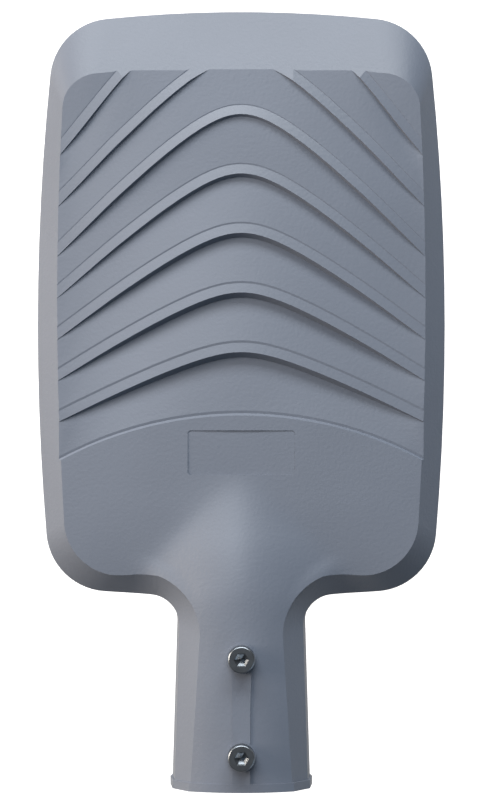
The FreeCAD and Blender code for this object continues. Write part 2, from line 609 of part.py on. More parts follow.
def moved_out(start, end, distance):
    """A line of the neck's section, moved outwards: a point of it and its direction."""
    dx, dz = end[0] - start[0], end[1] - start[1]
    length = math.hypot(dx, dz)
    return (start[0] + dz * distance / length, start[1] - dx * distance / length), (dx / length, dz / length)


def collar():
    """Raised band round the neck at its mouth: side walls, bevels and arched top."""
    rim = (size.neck_half, size.neck_rim_height)
    crest = (size.neck_half - size.bevel_neck, size.neck_rim_height + size.bevel_rise)
    (ax, az), (ux, uz) = moved_out((size.neck_half + size.skirt_flare, 0), rim, size.collar_raise)
    (bx, bz), (vx, vz) = moved_out(rim, crest, size.collar_raise)
    run = ((bx - ax) * vz - (bz - az) * vx) / (ux * vz - uz * vx)
    corner = (ax + run * ux, az + run * uz)
    slope = -vz / vx
    top = size.ridge_height + size.collar_raise
    radius = size.ridge_radius + size.collar_raise
    reach = radius * (slope - math.sqrt(slope ** 2 - 2 * (corner[1] + slope * corner[0] - top) / radius))
    edge = (reach, corner[1] + slope * (corner[0] - reach))
    right = [Vector(x, 0, z) for x, z in ((ax, az), corner, edge)]
    left = [Vector(-p.x, 0, p.z) for p in reversed(right)]
    lines = [Part.makeLine(*pair) for side in (right, left) for pair in zip(side, side[1:])]
    arch = Part.Arc(right[-1], Vector(0, 0, top), left[0]).toShape()
    base = Part.makeLine(left[-1], right[0])
    section = Part.Wire(Part.__sortEdges__(lines + [arch, base]))
    return Part.Face(section).extrude(Vector(0, size.collar_length, 0))


def new_body(name):
    return doc.addObject("PartDesign::Body", name)


def sketch_on(body, name, lift="0", role="XY_Plane"):
    """Sketch on one of the body's own planes, lifted off it by an expression."""
    sketch = body.newObject("Sketcher::SketchObject", name)
    plane = next(f for f in body.Origin.OriginFeatures if f.Role == role)
    sketch.AttachmentSupport = [(plane, "")]
    sketch.MapMode = "FlatFace"
    sketch.setExpression("AttachmentOffset.Base.z", named(lift))
    return sketch


def dimension(sketch, kind, *where, to):
    """A driving dimension that is bound to an expression."""
    index = sketch.addConstraint(Sketcher.Constraint(kind, *where, value(to)))
    sketch.setExpression(f"Constraints[{index}]", named(to))


def draw_polygon(sketch, corners):
    """Closed polygon through corners, each a pair of expressions."""
    points = [Vector(value(x), value(y), 0) for x, y in corners]
    first = sketch.GeometryCount
    count = len(points)
    for k, point in enumerate(points):
        sketch.addGeometry(Part.LineSegment(point, points[(k + 1) % count]))
    for k in range(count):
        sketch.addConstraint(Sketcher.Constraint("Coincident", first + k, 2, first + (k + 1) % count, 1))
        dimension(sketch, "DistanceX", -1, 1, first + k, 1, to=corners[k][0])
        dimension(sketch, "DistanceY", -1, 1, first + k, 1, to=corners[k][1])
    return sketch


def draw_frame(sketch, half, near, far, corner):
    """Rounded rectangle, equal about the Y axis, from expressions."""
    w, a, b, r = (value(e) for e in (half, near, far, corner))
    first = sketch.GeometryCount
    corners = [(w, a, -1, 1, 1.5), (w, b, -1, -1, 0.0), (-w, b, 1, -1, 0.5), (-w, a, 1, 1, 1.0)]
    arcs = []
    for x, y, sx, sy, start in corners:
        centre = Vector(x + sx * r, y + sy * r, 0)
        circle = Part.Circle(centre, Vector(0, 0, 1), r)
        arcs.append(Part.ArcOfCircle(circle, start * math.pi, (start + 0.5) * math.pi))
    for arc in arcs:
        sketch.addGeometry(arc)
    for k in range(4):
        sketch.addGeometry(Part.LineSegment(arcs[k].EndPoint, arcs[(k + 1) % 4].StartPoint))
    for k in range(4):
        line = first + 4 + k
        sketch.addConstraint(Sketcher.Constraint("Tangent", first + k, 2, line, 1))
        sketch.addConstraint(Sketcher.Constraint("Tangent", line, 2, first + (k + 1) % 4, 1))
        sketch.addConstraint(Sketcher.Constraint("Vertical" if k % 2 == 0 else "Horizontal", line))
        if k:
            sketch.addConstraint(Sketcher.Constraint("Equal", first, first + k))
    dimension(sketch, "Radius", first, to=corner)
    dimension(sketch, "DistanceX", -1, 1, first + 4, 1, to=half)
    dimension(sketch, "DistanceX", first + 6, 1, -1, 1, to=half)
    dimension(sketch, "DistanceY", -1, 1, first + 7, 1, to=near)
    dimension(sketch, "DistanceY", -1, 1, first + 5, 1, to=far)
    return sketch


def draw_circles(sketch, places, radius):
    """Equal circles at places, each a pair of expressions."""
    first = sketch.GeometryCount
    for x, y in places:
        index = sketch.addGeometry(Part.Circle(Vector(value(x), value(y), 0), Vector(0, 0, 1), value(radius)))
        if index > first:
            sketch.addConstraint(Sketcher.Constraint("Equal", first, index))
        dimension(sketch, "DistanceX", -1, 1, index, 3, to=x)
        dimension(sketch, "DistanceY", -1, 1, index, 3, to=y)
    dimension(sketch, "Radius", first, to=radius)
    return sketch


def draw_hexagon(sketch, flats):
    """Regular hexagon about the origin, by half its width across flats."""
    corners = []
    for k in range(6):
        angle = 60 * k
        corners.append((f"{flats} / cos(30) * cos({angle})", f"{flats} / cos(30) * sin({angle})"))
    return draw_polygon(sketch, corners)


def draw_octagon(sketch, half):
    """Octagon about the origin, by half its width."""
    side = f"({half}) * tan(22.5)"
    signs = [("", "-"), ("", ""), ("-", ""), ("-", "-")]
    corners = []
    for k, (sx, sy) in enumerate(signs):
        pair = [(f"{sx}({half})", f"{sy}{side}"), (f"{sx}{side}", f"{sy}({half})")]
        corners += pair[::-1] if k % 2 == 0 else pair
    return draw_polygon(sketch, corners)


def extrude(body, kind, sketch, length, backwards=False, taper=None):
    """Pad or pocket of a sketch by an expression."""
    feature = body.newObject("PartDesign::" + kind, sketch.Name + "_" + kind.lower())
    feature.Profile = sketch
    feature.setExpression("Length", named(length))
    feature.Reversed = backwards
    feature.Refine = False
    if taper:
        feature.setExpression("TaperAngle", named(taper))
    sketch.Visibility = False
    body.Tip = feature
    return feature


def pad(body, sketch, length, **options):
    return extrude(body, "Pad", sketch, length, **options)


def pocket_up(body, sketch, length):
    return extrude(body, "Pocket", sketch, length, backwards=True)


def turn(body, sketch, kind="Revolution", axis="H_Axis"):
    """Full revolution or groove of a sketch about one of its axes."""
    feature = body.newObject("PartDesign::" + kind, sketch.Name + "_turned")
    feature.Profile = sketch
    feature.ReferenceAxis = (sketch, [axis])
    feature.Angle = 360
    feature.Refine = False
    sketch.Visibility = False
    body.Tip = feature
    return feature


def middle_of(near, far, share):
    return f"({near}) + (({far}) - ({near})) * {share}"


def mirrored_pairs(places):
    """Each place and its mirror image across the middle."""
    return [(sign + x, y) for x, y in places for sign in ("", "-")]


def shrunk(outline, margin):
    """A rounded rectangle's four expressions, moved inwards by a margin."""
    half, near, far, corner = outline
    return (f"{half} - ({margin})", f"{near} + ({margin})", f"{far} - ({margin})", f"{corner} - ({margin})")


GLASS = ("glass_half", "glass_near", "glass_far", "glass_corner")
FRAME = ("glass_half + frame_margin", "glass_near - frame_margin", "glass_far + frame_margin", "frame_corner")
LED_BAY = ("glass_half - ledge", "glass_near + ledge", "glass_far - ledge", "glass_corner - ledge / 2")
BAY = ("bay_half", "bay_near", "bay_far", "bay_corner")
TUB = ("bay_half + flange", "bay_near - flange", "bay_far + flange", "bay_corner + flange")

FRAME_SCREWS = mirrored_pairs(
    [("(glass_half + screw_margin)", middle_of("glass_near", "glass_far", share))
     for share in ("frame_screw_share", "0.5", "(1 - frame_screw_share)")]
    + [("(glass_half / 2)", "(glass_near - screw_margin)"),
       ("(glass_half / 2)", "(glass_far + screw_margin)")])
COVER_SCREWS = mirrored_pairs(
    [("(bay_half + flange / 2)", middle_of("bay_near", "bay_far", share))
     for share in ("cover_screw_share", "(1 - cover_screw_share)")]
    + [("(bay_half / 2)", "(bay_near - flange / 2)"), ("(bay_half / 2)", "(bay_far + flange / 2)")])
BOARD_MIDDLE = "((glass_near + glass_far) / 2)"
LENS_PLACES = [(f"(lens_pitch_x * {i - (LENS_COLUMNS - 1) / 2})",
                f"({BOARD_MIDDLE} + lens_pitch_y * {j - (LENS_ROWS - 1) / 2})")
               for j in range(LENS_ROWS) for i in range(LENS_COLUMNS)]
LENS_SCREWS = [(f"(lens_pitch_x * {i})", f"({BOARD_MIDDLE} + lens_pitch_y * {j})")
               for i, j in ((-2, -2), (2, -2), (0, 0), (-2, 2), (2, 2))]
DRIVER_FAR = "(bay_far - driver_margin)"
DRIVER_NEAR = "(bay_far - driver_margin - driver_width)"
BLOCK_NEAR = "(bay_near + wall_gap)"
DRIVER_SCREWS = mirrored_pairs([("(driver_half + ear_length / 2)", middle_of(DRIVER_NEAR, DRIVER_FAR, share))
                                for share in ("driver_screw_share", "(1 - driver_screw_share)")])
BLOCK_SCREWS = [(f"(-block_at - block_length * {share})", f"({BLOCK_NEAR} + block_width / 2)")
                for share in ("block_screw_share", "(1 - block_screw_share)")]
SURGE_SCREWS = [("(surge_at - surge_ear / 2)", f"({BLOCK_NEAR} + surge_width / 2)"),
                ("(surge_at + surge_length + surge_ear / 2)", f"({BLOCK_NEAR} + surge_width / 2)")]
EARTH_SCREW = [("earth_at", "earth_station")]
VENT = [("(-vent_at)", "vent_station")]
BOLT_PLACES = [("0", "first_bolt"), ("0", "(first_bolt + bolt_pitch)")]
BOLT_SEAT = "(ridge_height + bolt_boss_raise)"
BOARD_FACE = "(led_ceiling - pad_thickness - board_thickness)"
LENS_FACE = f"({BOARD_FACE} - lens_plate_thickness)"
COVER_FACE = "(bay_floor - cover_gasket_thickness - cover_thickness)"


def draw_outline(body, name, lift, outline, inner=None):
    """Sketch of a rounded rectangle, or of a ring when an inner outline is given."""
    sketch = draw_frame(sketch_on(body, name, lift), *outline)
    if inner:
        draw_frame(sketch, *inner)
    return sketch


def build_housing():
    """One casting: the outside form, the barrel, the driver tub, and the bays cut from below."""
    base = doc.addObject("Part::Feature", "housing_outside")
    base.Shape = housing_form()
    body = new_body("housing")
    body.BaseFeature = base
    barrel = draw_polygon(sketch_on(body, "barrel", role="YZ_Plane"), [
        ("0", "0"), ("0", "barrel_mouth + collar_raise"), ("collar_length", "barrel_mouth + collar_raise"),
        ("collar_length", "barrel_mouth"), ("barrel_length", "barrel_end"),
        ("barrel_length + barrel_end - nose_radius", "nose_radius"), ("bay_near", "nose_radius"),
        ("bay_near", "0")])
    turn(body, barrel)
    pad(body, draw_outline(body, "tub", "bay_floor", TUB), "lap - bay_floor", taper="tub_draft")
    bosses = draw_circles(sketch_on(body, "bolt_bosses", "socket_radius + boss_root"), BOLT_PLACES,
                          "bolt_boss_radius")
    pad(body, bosses, f"{BOLT_SEAT} - socket_radius - boss_root")
    strip = draw_polygon(sketch_on(body, "strip", "socket_radius + boss_root"), [
        ("-strip_half", "collar_length / 2"), ("strip_half", "collar_length / 2"),
        ("strip_half", "first_bolt + bolt_pitch / 2"),
        ("strip_half + strip_flare", "first_bolt + bolt_pitch"),
        ("-strip_half - strip_flare", "first_bolt + bolt_pitch"),
        ("-strip_half", "first_bolt + bolt_pitch / 2")])
    pad(body, strip, "ridge_height + strip_raise - socket_radius - boss_root")
    label = draw_outline(body, "label_recess", "rim_height + bevel_rise + dome_rise - label_depth",
                         ("label_half", "label_near", "label_far", "label_corner"))
    pocket_up(body, label, "label_room")
    bore = draw_polygon(sketch_on(body, "socket", role="YZ_Plane"), [
        ("-lap", "0"), ("-lap", "socket_radius"), ("socket_depth", "socket_radius"),
        ("socket_depth", "gland_recess"), ("gland_depth", "gland_recess"),
        ("gland_depth", "gland_radius + thread_clearance"),
        ("bay_near + lap", "gland_radius + thread_clearance"), ("bay_near + lap", "0")])
    turn(body, bore, "Groove")
    pocket_up(body, draw_outline(body, "driver_bay", "bay_floor", BAY), "bay_ceiling - bay_floor")
    pocket_up(body, draw_outline(body, "glass_seat", "0", shrunk(GLASS, "-glass_gap")),
              "glass_thickness + gasket_thickness")
    pocket_up(body, draw_outline(body, "led_bay", "0", LED_BAY), "led_ceiling")
    small, lens = "small_screw_radius + thread_clearance", "lens_screw_radius + thread_clearance"
    bay_screws = DRIVER_SCREWS + BLOCK_SCREWS + SURGE_SCREWS + EARTH_SCREW
    for name, lift, places, radius, depth in [
            ("bolt_holes", "0", BOLT_PLACES, "bolt_radius + thread_clearance", f"{BOLT_SEAT} + lap"),
            ("frame_holes", "0", FRAME_SCREWS, small, "frame_screw_reach + hole_reserve"),
            ("cover_holes", "bay_floor", COVER_SCREWS, small, "cover_screw_reach + hole_reserve"),
            ("lens_holes", "led_ceiling", LENS_SCREWS, lens, "lens_screw_reach + roof_reserve"),
            ("bay_holes", "bay_ceiling", bay_screws, small, "bay_screw_reach + roof_reserve")]:
        pocket_up(body, draw_circles(sketch_on(body, name, lift), places, radius), depth)
    return body


def plate(name, lift, thickness, outline, inner=None):
    """Flat piece with a rounded outline, open inside when an inner outline is given."""
    body = new_body(name)
    pad(body, draw_outline(body, name + "_outline", lift, outline, inner), thickness)
    return body


def drill(body, name, places, radius, lift, depth):
    """Round holes cut upwards from a height."""
    pocket_up(body, draw_circles(sketch_on(body, name, lift), places, radius), depth)


def box(body, name, left, right, near, far, lift, height):
    corners = [(left, near), (right, near), (right, far), (left, far)]
    return pad(body, draw_polygon(sketch_on(body, name, lift), corners), height)


def chamfer(body, width, wanted):
    """Chamfer of the tip's edges that a test picks out."""
    doc.recompute()
    tip = body.Tip
    found = [f"Edge{k}" for k, edge in enumerate(tip.Shape.Edges, start=1) if wanted(edge)]
    feature = body.newObject("PartDesign::Chamfer", body.Name + "_chamfer")
    feature.Base = (tip, found)
    feature.setExpression("Size", named(width))
    body.Tip = feature
    return feature


def edges_at(height):
    """Test for level edges at a height."""
    z = value(height)
    return lambda edge: abs(edge.BoundBox.ZMin - z) < TOLERANCE and abs(edge.BoundBox.ZMax - z) < TOLERANCE


def outer_edges_at(height, half):
    """Test for level edges at a height, that bound a plate from outside."""
    level = edges_at(height)
    middle = value(half) * OUTER_SHARE
    return lambda edge: level(edge) and edge.BoundBox.DiagonalLength > SHORT_EDGE and (
        max(abs(edge.BoundBox.XMin), abs(edge.BoundBox.XMax)) > middle)


def copies(name, pattern, places, height, turned=False):
    """The pattern's solid at each place; turned upside down on request."""
    solids = []
    for x, y in places:
        solid = pattern.Shape.copy()
        if turned:
            solid.rotate(Vector(0, 0, 0), Vector(1, 0, 0), 180)
        solid.translate(Vector(value(x), value(y), value(height)))
        solids.append(solid)
    node = doc.addObject("Part::Feature", name)
    node.Shape = Part.makeCompound(solids)
    return node


def cap_screw(name, length):
    """Low-head screw: head below the origin, thread above it."""
    body = new_body(name)
    origin = [("0", "0")]
    head = draw_circles(sketch_on(body, name + "_head", "-small_head_height"), origin, "small_head_radius")
    pad(body, head, "small_head_height")
    pad(body, draw_circles(sketch_on(body, name + "_thread"), origin, "small_screw_radius"), length)
    pocket_up(body, draw_hexagon(sketch_on(body, name + "_key", "-small_head_height"), "small_key"),
              "small_key_depth")
    return body


def hex_screw(name, thread, length, flats, head_height):
    """Hexagon-head screw: head below the origin, thread above it."""
    body = new_body(name)
    pad(body, draw_hexagon(sketch_on(body, name + "_head", f"-{head_height}"), flats), head_height)
    pad(body, draw_circles(sketch_on(body, name + "_thread"), [("0", "0")], thread), length)
    return body


def turned_body(name, profile):
    """Body of revolution about its own Z axis, from pairs of radius and height."""
    body = new_body(name)
    turn(body, draw_polygon(sketch_on(body, name + "_profile", role="XZ_Plane"), profile), axis="V_Axis")
    return body


def along_socket(body, x="0", z="0"):
    """Lay a body down so that its Z axis runs along the socket's axis."""
    body.Placement = FreeCAD.Placement(Vector(value(x), 0, value(z)), Rotation(Vector(1, 0, 0), -90))
    return body


def build_clamp_bolts():
    head, chamfered = "bolt_head_height", "bolt_head_radius - bolt_chamfer"
    bolt = turned_body("clamp_bolt", [
        ("0", f"-{head}"), (chamfered, f"-{head}"), ("bolt_head_radius", f"bolt_chamfer - {head}"),
        ("bolt_head_radius", "0"), ("bolt_radius", "0"),
        ("bolt_radius", f"{BOLT_SEAT} - socket_radius - bolt_tip_gap - bolt_chamfer"),
        ("bolt_radius - bolt_chamfer", f"{BOLT_SEAT} - socket_radius - bolt_tip_gap"),
        ("0", f"{BOLT_SEAT} - socket_radius - bolt_tip_gap")])
    pocket_up(bolt, draw_hexagon(sketch_on(bolt, "clamp_bolt_key", f"-{head}"), "bolt_key"), "bolt_key_depth")
    doc.recompute()
    return copies("clamp_bolts", bolt, BOLT_PLACES, BOLT_SEAT, turned=True)


def build_window():
    """Glass, gasket, frame and the frame's screws."""
    glass = plate("glass_cover", "0", "glass_thickness", GLASS)
    gasket = plate("glass_gasket", "glass_thickness", "gasket_thickness", GLASS,
                   shrunk(GLASS, "ledge - gasket_inset"))
    frame = plate("glass_frame", "-frame_thickness", "frame_thickness", FRAME, shrunk(GLASS, "frame_lap"))
    drill(frame, "glass_frame_holes", FRAME_SCREWS, "small_screw_radius + small_hole_gap", "-frame_thickness",
          "frame_thickness")
    chamfer(frame, "edge_chamfer", outer_edges_at("-frame_thickness", "glass_half + frame_margin"))
    screw = cap_screw("frame_screw", "frame_thickness + frame_screw_reach")
    doc.recompute()
    return [glass, gasket, frame, copies("frame_screws", screw, FRAME_SCREWS, "-frame_thickness")]


def build_light():
    """Thermal pad, board, LEDs, lens plate and its screws."""
    board_outline = ("board_half", f"{BOARD_MIDDLE} - board_length / 2", f"{BOARD_MIDDLE} + board_length / 2",
                     "board_corner")
    lens_outline = ("lens_plate_half", f"{BOARD_MIDDLE} - lens_plate_length / 2",
                    f"{BOARD_MIDDLE} + lens_plate_length / 2", "board_corner")
    hole = "lens_screw_radius + small_hole_gap"
    cushion = plate("thermal_pad", "led_ceiling - pad_thickness", "pad_thickness", board_outline)
    drill(cushion, "thermal_pad_holes", LENS_SCREWS, hole, "led_ceiling - pad_thickness", "pad_thickness")
    board = plate("led_board", BOARD_FACE, "board_thickness", board_outline)
    drill(board, "led_board_holes", LENS_SCREWS, hole, BOARD_FACE, "board_thickness")
    chip = new_body("led_chip")
    side = "chip_side / 2"
    box(chip, "led_chip_outline", f"-{side}", side, f"-{side}", side, "-chip_height", "chip_height")
    lens = new_body("lens")
    low, high = (draw_octagon(sketch_on(lens, name, lift), half)
                 for name, lift, half in (("lens_foot", "0", "lens_radius"),
                                          ("lens_top", "-lens_height", "lens_land")))
    loft = lens.newObject("PartDesign::AdditiveLoft", "lens_loft")
    loft.Profile = low
    loft.Sections = [high]
    lens.Tip = loft
    optics = plate("lens_plate_blank", LENS_FACE, "lens_plate_thickness", lens_outline)
    channels = sketch_on(optics, "lens_channels", f"{BOARD_FACE} - lens_hollow")
    half = "(lens_plate_half - channel_end)"
    for _, y in LENS_PLACES[::LENS_COLUMNS]:
        draw_polygon(channels, [(f"-{half}", f"{y} - channel_half"), (half, f"{y} - channel_half"),
                                (half, f"{y} + channel_half"), (f"-{half}", f"{y} + channel_half")])
    pocket_up(optics, channels, "lens_hollow")
    drill(optics, "lens_plate_holes", LENS_SCREWS, hole, LENS_FACE, "lens_plate_thickness")
    screw = hex_screw("lens_screw", "lens_screw_radius",
                      f"led_ceiling + lens_screw_reach - {LENS_FACE}", "lens_head_radius", "lens_head_height")
    doc.recompute()
    lenses = copies("lenses", lens, LENS_PLACES, LENS_FACE)
    whole = doc.addObject("Part::MultiFuse", "lens_plate")
    whole.Shapes = [optics, lenses]
    return [cushion, board, copies("led_chips", chip, LENS_PLACES, BOARD_FACE), whole,
            copies("lens_screws", screw, LENS_SCREWS, LENS_FACE)]


def build_cover():
    """Driver cover with its gasket, screws and vent plug."""
    gasket = plate("driver_cover_gasket", "bay_floor - cover_gasket_thickness", "cover_gasket_thickness",
                   TUB, BAY)
    hole = "small_screw_radius + small_hole_gap"
    drill(gasket, "cover_gasket_holes", COVER_SCREWS, hole, "bay_floor - cover_gasket_thickness",
          "cover_gasket_thickness")
    cover = plate("driver_cover", COVER_FACE, "cover_thickness", TUB)
    inside = f"{COVER_FACE} + cover_thickness"
    pad(cover, draw_outline(cover, "cover_lip_outline", inside, shrunk(BAY, "lip_gap"),
                            shrunk(BAY, "lip_gap + lip_width")), "cover_gasket_thickness + cover_lip")
    boss = draw_circles(sketch_on(cover, "vent_boss", inside), VENT, "vent_radius + vent_boss_wall")
    pad(cover, boss, "vent_boss")
    chamfer(cover, "edge_chamfer", outer_edges_at(COVER_FACE, "bay_half + flange"))
    panel = draw_outline(cover, "cover_panel", COVER_FACE, shrunk(TUB, "panel_inset"))
    pocket_up(cover, panel, "panel_depth")
    drill(cover, "driver_cover_holes", COVER_SCREWS, hole, COVER_FACE, "cover_thickness")
    drill(cover, "vent_hole", VENT, "vent_radius + thread_clearance", COVER_FACE,
          "cover_thickness + vent_boss")
    screw = cap_screw("cover_screw", "cover_thickness + cover_gasket_thickness + cover_screw_reach")
    wall = "(cover_thickness - panel_depth + vent_boss)"
    vent = turned_body("vent_plug", [
        ("vent_bore", "-vent_dish_height"), ("vent_dish", "-vent_dish_height"),
        ("vent_rim", "-vent_head_height"), ("vent_head_radius", "vent_head_chamfer - vent_head_height"),
        ("vent_head_radius", "0"), ("vent_radius", "0"), ("vent_radius", f"{wall} + vent_stub"),
        ("vent_bore", f"{wall} + vent_stub")])
    vent.Placement.Base = Vector(value(VENT[0][0]), value(VENT[0][1]), value(f"{COVER_FACE} + panel_depth"))
    doc.recompute()
    return [gasket, cover, copies("cover_screws", screw, COVER_SCREWS, COVER_FACE), vent]


def build_bay():
    """LED driver, terminal block, surge protector and earth point, each with its screws."""
    ear = "ear_thickness"
    hole = "small_screw_radius + small_hole_gap"
    ear_face = f"bay_ceiling - {ear}"
    driver = new_body("led_driver")
    box(driver, "driver_case", "-driver_half", "driver_half", DRIVER_NEAR, DRIVER_FAR,
        "bay_ceiling - driver_height", "driver_height")
    chamfer(driver, "case_chamfer", edges_at("bay_ceiling - driver_height"))
    box(driver, "driver_ears", "-driver_half - ear_length", "driver_half + ear_length",
        f"{DRIVER_NEAR} + ear_inset", f"{DRIVER_FAR} - ear_inset", ear_face, ear)
    drill(driver, "driver_holes", DRIVER_SCREWS, hole, ear_face, ear)
    block = new_body("terminal_block")
    box(block, "block_case", "-block_at - block_length", "-block_at", BLOCK_NEAR,
        f"{BLOCK_NEAR} + block_width", "bay_ceiling - block_height", "block_height")
    drill(block, "block_holes", BLOCK_SCREWS, hole, "bay_ceiling - block_height", "block_height")
    wires = [(f"(-block_at - block_length * {share})", "(bay_ceiling - wire_rise)")
             for share in ("wire_share", "0.5", "(1 - wire_share)")]
    openings = draw_circles(sketch_on(block, "wire_holes", f"-{BLOCK_NEAR} - block_width", "XZ_Plane"), wires,
                            "wire_hole")
    pocket_up(block, openings, "wire_hole_depth")
    surge = new_body("surge_protector")
    box(surge, "surge_case", "surge_at", "surge_at + surge_length", BLOCK_NEAR, f"{BLOCK_NEAR} + surge_width",
        "bay_ceiling - surge_height", "surge_height")
    chamfer(surge, "case_chamfer", edges_at("bay_ceiling - surge_height"))
    box(surge, "surge_ears", "surge_at - surge_ear", "surge_at + surge_length + surge_ear",
        f"{BLOCK_NEAR} + surge_ear_inset", f"{BLOCK_NEAR} + surge_width - surge_ear_inset", ear_face, ear)
    drill(surge, "surge_holes", SURGE_SCREWS, hole, ear_face, ear)
    washer = new_body("earth_washer")
    ring = draw_circles(sketch_on(washer, "washer_outline", "bay_ceiling - washer_thickness"),
                        EARTH_SCREW, "small_hex + washer_margin")
    pad(washer, draw_circles(ring, EARTH_SCREW, hole), "washer_thickness")
    kinds = [("driver_screws", DRIVER_SCREWS, ear), ("terminal_screws", BLOCK_SCREWS, "block_height"),
             ("surge_screws", SURGE_SCREWS, ear), ("earth_screw", EARTH_SCREW, "washer_thickness")]
    patterns = [hex_screw(name + "_pattern", "small_screw_radius", f"{grip} + bay_screw_reach", "small_hex",
                          "small_head_height") for name, _, grip in kinds]
    doc.recompute()
    screws = [copies(name, pattern, places, f"bay_ceiling - {grip}")
              for pattern, (name, places, grip) in zip(patterns, kinds)]
    return [driver, block, surge, washer] + screws


def build_gland():
    """Cable gland in the socket's inner wall, seen from the socket: dome nut, seal, body, lock nut."""
    face = "gland_depth"
    nut_end = "(gland_depth - gland_hex_length - gland_step)"
    nut_start = f"({nut_end} - gland_nut_length)"
    thread_end = "(bay_near + gland_lock_length + gland_stub)"
    cup_start = f"({nut_start} + gland_cup_at)"
    body = turned_body("gland_body", [
        ("cable_radius + gland_room", cup_start + " + gland_cup_depth"), ("gland_cup", cup_start),
        ("gland_radius", cup_start),
        ("gland_radius", thread_end), ("cable_radius + gland_room", thread_end)])
    hexagon = draw_hexagon(sketch_on(body, "gland_hexagon", f"{face} - gland_hex_length"), "gland_hex")
    ring = draw_circles(hexagon, [("0", "0")], "gland_radius - lap")
    pad(body, ring, "gland_hex_length")
    nut = turned_body("gland_nut", [
        ("cable_radius + gland_room", nut_start), ("gland_nut_radius - gland_dome", nut_start),
        ("gland_nut_radius", f"{nut_start} + gland_dome_length"), ("gland_nut_radius", nut_end),
        ("gland_radius + thread_clearance", nut_end),
        ("gland_radius + thread_clearance", f"{nut_start} + gland_seat"),
        ("cable_radius + gland_room", f"{nut_start} + gland_lid")])
    seal = turned_body("gland_seal", [
        ("cable_radius", f"{nut_start} + seal_at"), ("gland_cup - gland_step", f"{nut_start} + seal_at"),
        ("gland_cup - gland_step", cup_start + " - gland_step"),
        ("cable_radius + seal_wall", cup_start + " + seal_depth"),
        ("cable_radius", cup_start + " + seal_depth")])
    lock = new_body("gland_locknut")
    outline = draw_hexagon(sketch_on(lock, "locknut_outline", "bay_near"), "gland_hex")
    pad(lock, draw_circles(outline, [("0", "0")], "gland_radius + thread_clearance"), "gland_lock_length")
    grommet = turned_body("wire_grommet", [
        ("grommet_bore", "bay_far - grommet_lip"), ("passage_radius + grommet_lip", "bay_far - grommet_lip"),
        ("passage_radius + grommet_lip", "bay_far"), ("passage_radius - grommet_gap", "bay_far"),
        ("passage_radius - grommet_gap", "glass_near + ledge"),
        ("passage_radius + grommet_lip", "glass_near + ledge"),
        ("passage_radius + grommet_lip", "glass_near + ledge + grommet_lip"),
        ("grommet_bore", "glass_near + ledge + grommet_lip")])
    for piece in (body, nut, seal, lock):
        along_socket(piece)
    along_socket(grommet, "passage_at", "passage_height")
    return [body, nut, seal, lock, grommet]


def main():
    nodes = [build_housing(), build_clamp_bolts()] + build_window() + build_light() + build_cover()
    nodes += build_bay() + build_gland()
    doc.recompute()
    for item in doc.Objects:
        if "Invalid" in item.State or "Error" in item.State:
            raise RuntimeError(f"{item.Name} did not build: {item.State}")
    os.makedirs("parts", exist_ok=True)
    for node in nodes:
        node.Label = node.Name
        shape = node.Shape
        if shape.isNull() or not shape.isValid() or shape.Volume <= 0:
            raise RuntimeError(f"{node.Name} has no sound shape")
        shape.exportStep(f"parts/{node.Name}.step")
        print(node.Name, len(shape.Solids), round(shape.Volume), shape.BoundBox)


main()
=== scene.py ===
import math

import bmesh
import bpy
from bpy.props import FloatProperty, FloatVectorProperty, PointerProperty
from mathutils import Matrix, Vector


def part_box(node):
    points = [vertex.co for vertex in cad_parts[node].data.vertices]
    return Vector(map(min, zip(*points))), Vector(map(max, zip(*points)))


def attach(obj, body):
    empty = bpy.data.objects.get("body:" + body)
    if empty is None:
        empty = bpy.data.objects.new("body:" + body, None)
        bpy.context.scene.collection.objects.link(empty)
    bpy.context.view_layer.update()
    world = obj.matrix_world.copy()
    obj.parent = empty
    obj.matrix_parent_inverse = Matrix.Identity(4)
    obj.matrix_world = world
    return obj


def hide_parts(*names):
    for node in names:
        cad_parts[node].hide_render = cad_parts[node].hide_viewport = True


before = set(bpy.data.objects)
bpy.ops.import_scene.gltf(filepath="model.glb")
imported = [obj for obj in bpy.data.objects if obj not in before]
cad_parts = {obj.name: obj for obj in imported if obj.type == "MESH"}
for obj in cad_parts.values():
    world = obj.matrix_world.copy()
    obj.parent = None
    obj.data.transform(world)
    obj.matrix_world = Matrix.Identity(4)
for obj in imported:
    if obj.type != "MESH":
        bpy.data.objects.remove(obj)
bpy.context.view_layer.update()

bl_info = {
    "name": "Street light head",
    "version": (1, 0, 0),
    "blender": (4, 5, 0),
    "location": "View3D > Sidebar > Street light",
    "description": "Dresses the street light head: coat, screws, lenses, glass and studio",
    "category": "Object",
}

BODY = "root"

# Lengths are in metres, powers in watts and angles in degrees

# The casting's smooth back: a crowned dome, lower before DOME_NEAR, and the neck's ridge, which
# bends down after RIDGE_END, widens and runs into the dome with a blend
CREST = 0.020
DOME_RISE = 0.003
DOME_NEAR = 0.146075
DOME_RUN = 0.038175
TERRACE_HALF = 0.0915
RIDGE_HEIGHT = 0.0359
RIDGE_RADIUS = 0.055
RIDGE_END = 0.088
RIDGE_BEND = 0.042
RIDGE_FALL = 0.335
RIDGE_SPREAD = 1.3
BLEND = 0.0015

# The steeper flanks and narrow spine of the ridge's foot, which fade out beside the two notches
SPINE_START = 0.093
SPINE_BEND = 0.034
SPINE_FALL = 0.315
SPINE_GROWTH = 0.022
SPINE_RADIUS = 0.016
FLANK_SLOPE = 0.44
NOTCH_CENTRE = (0.061, 0.0758)
NOTCH_RADIUS = 0.0321
NOTCH_FADE = 0.013

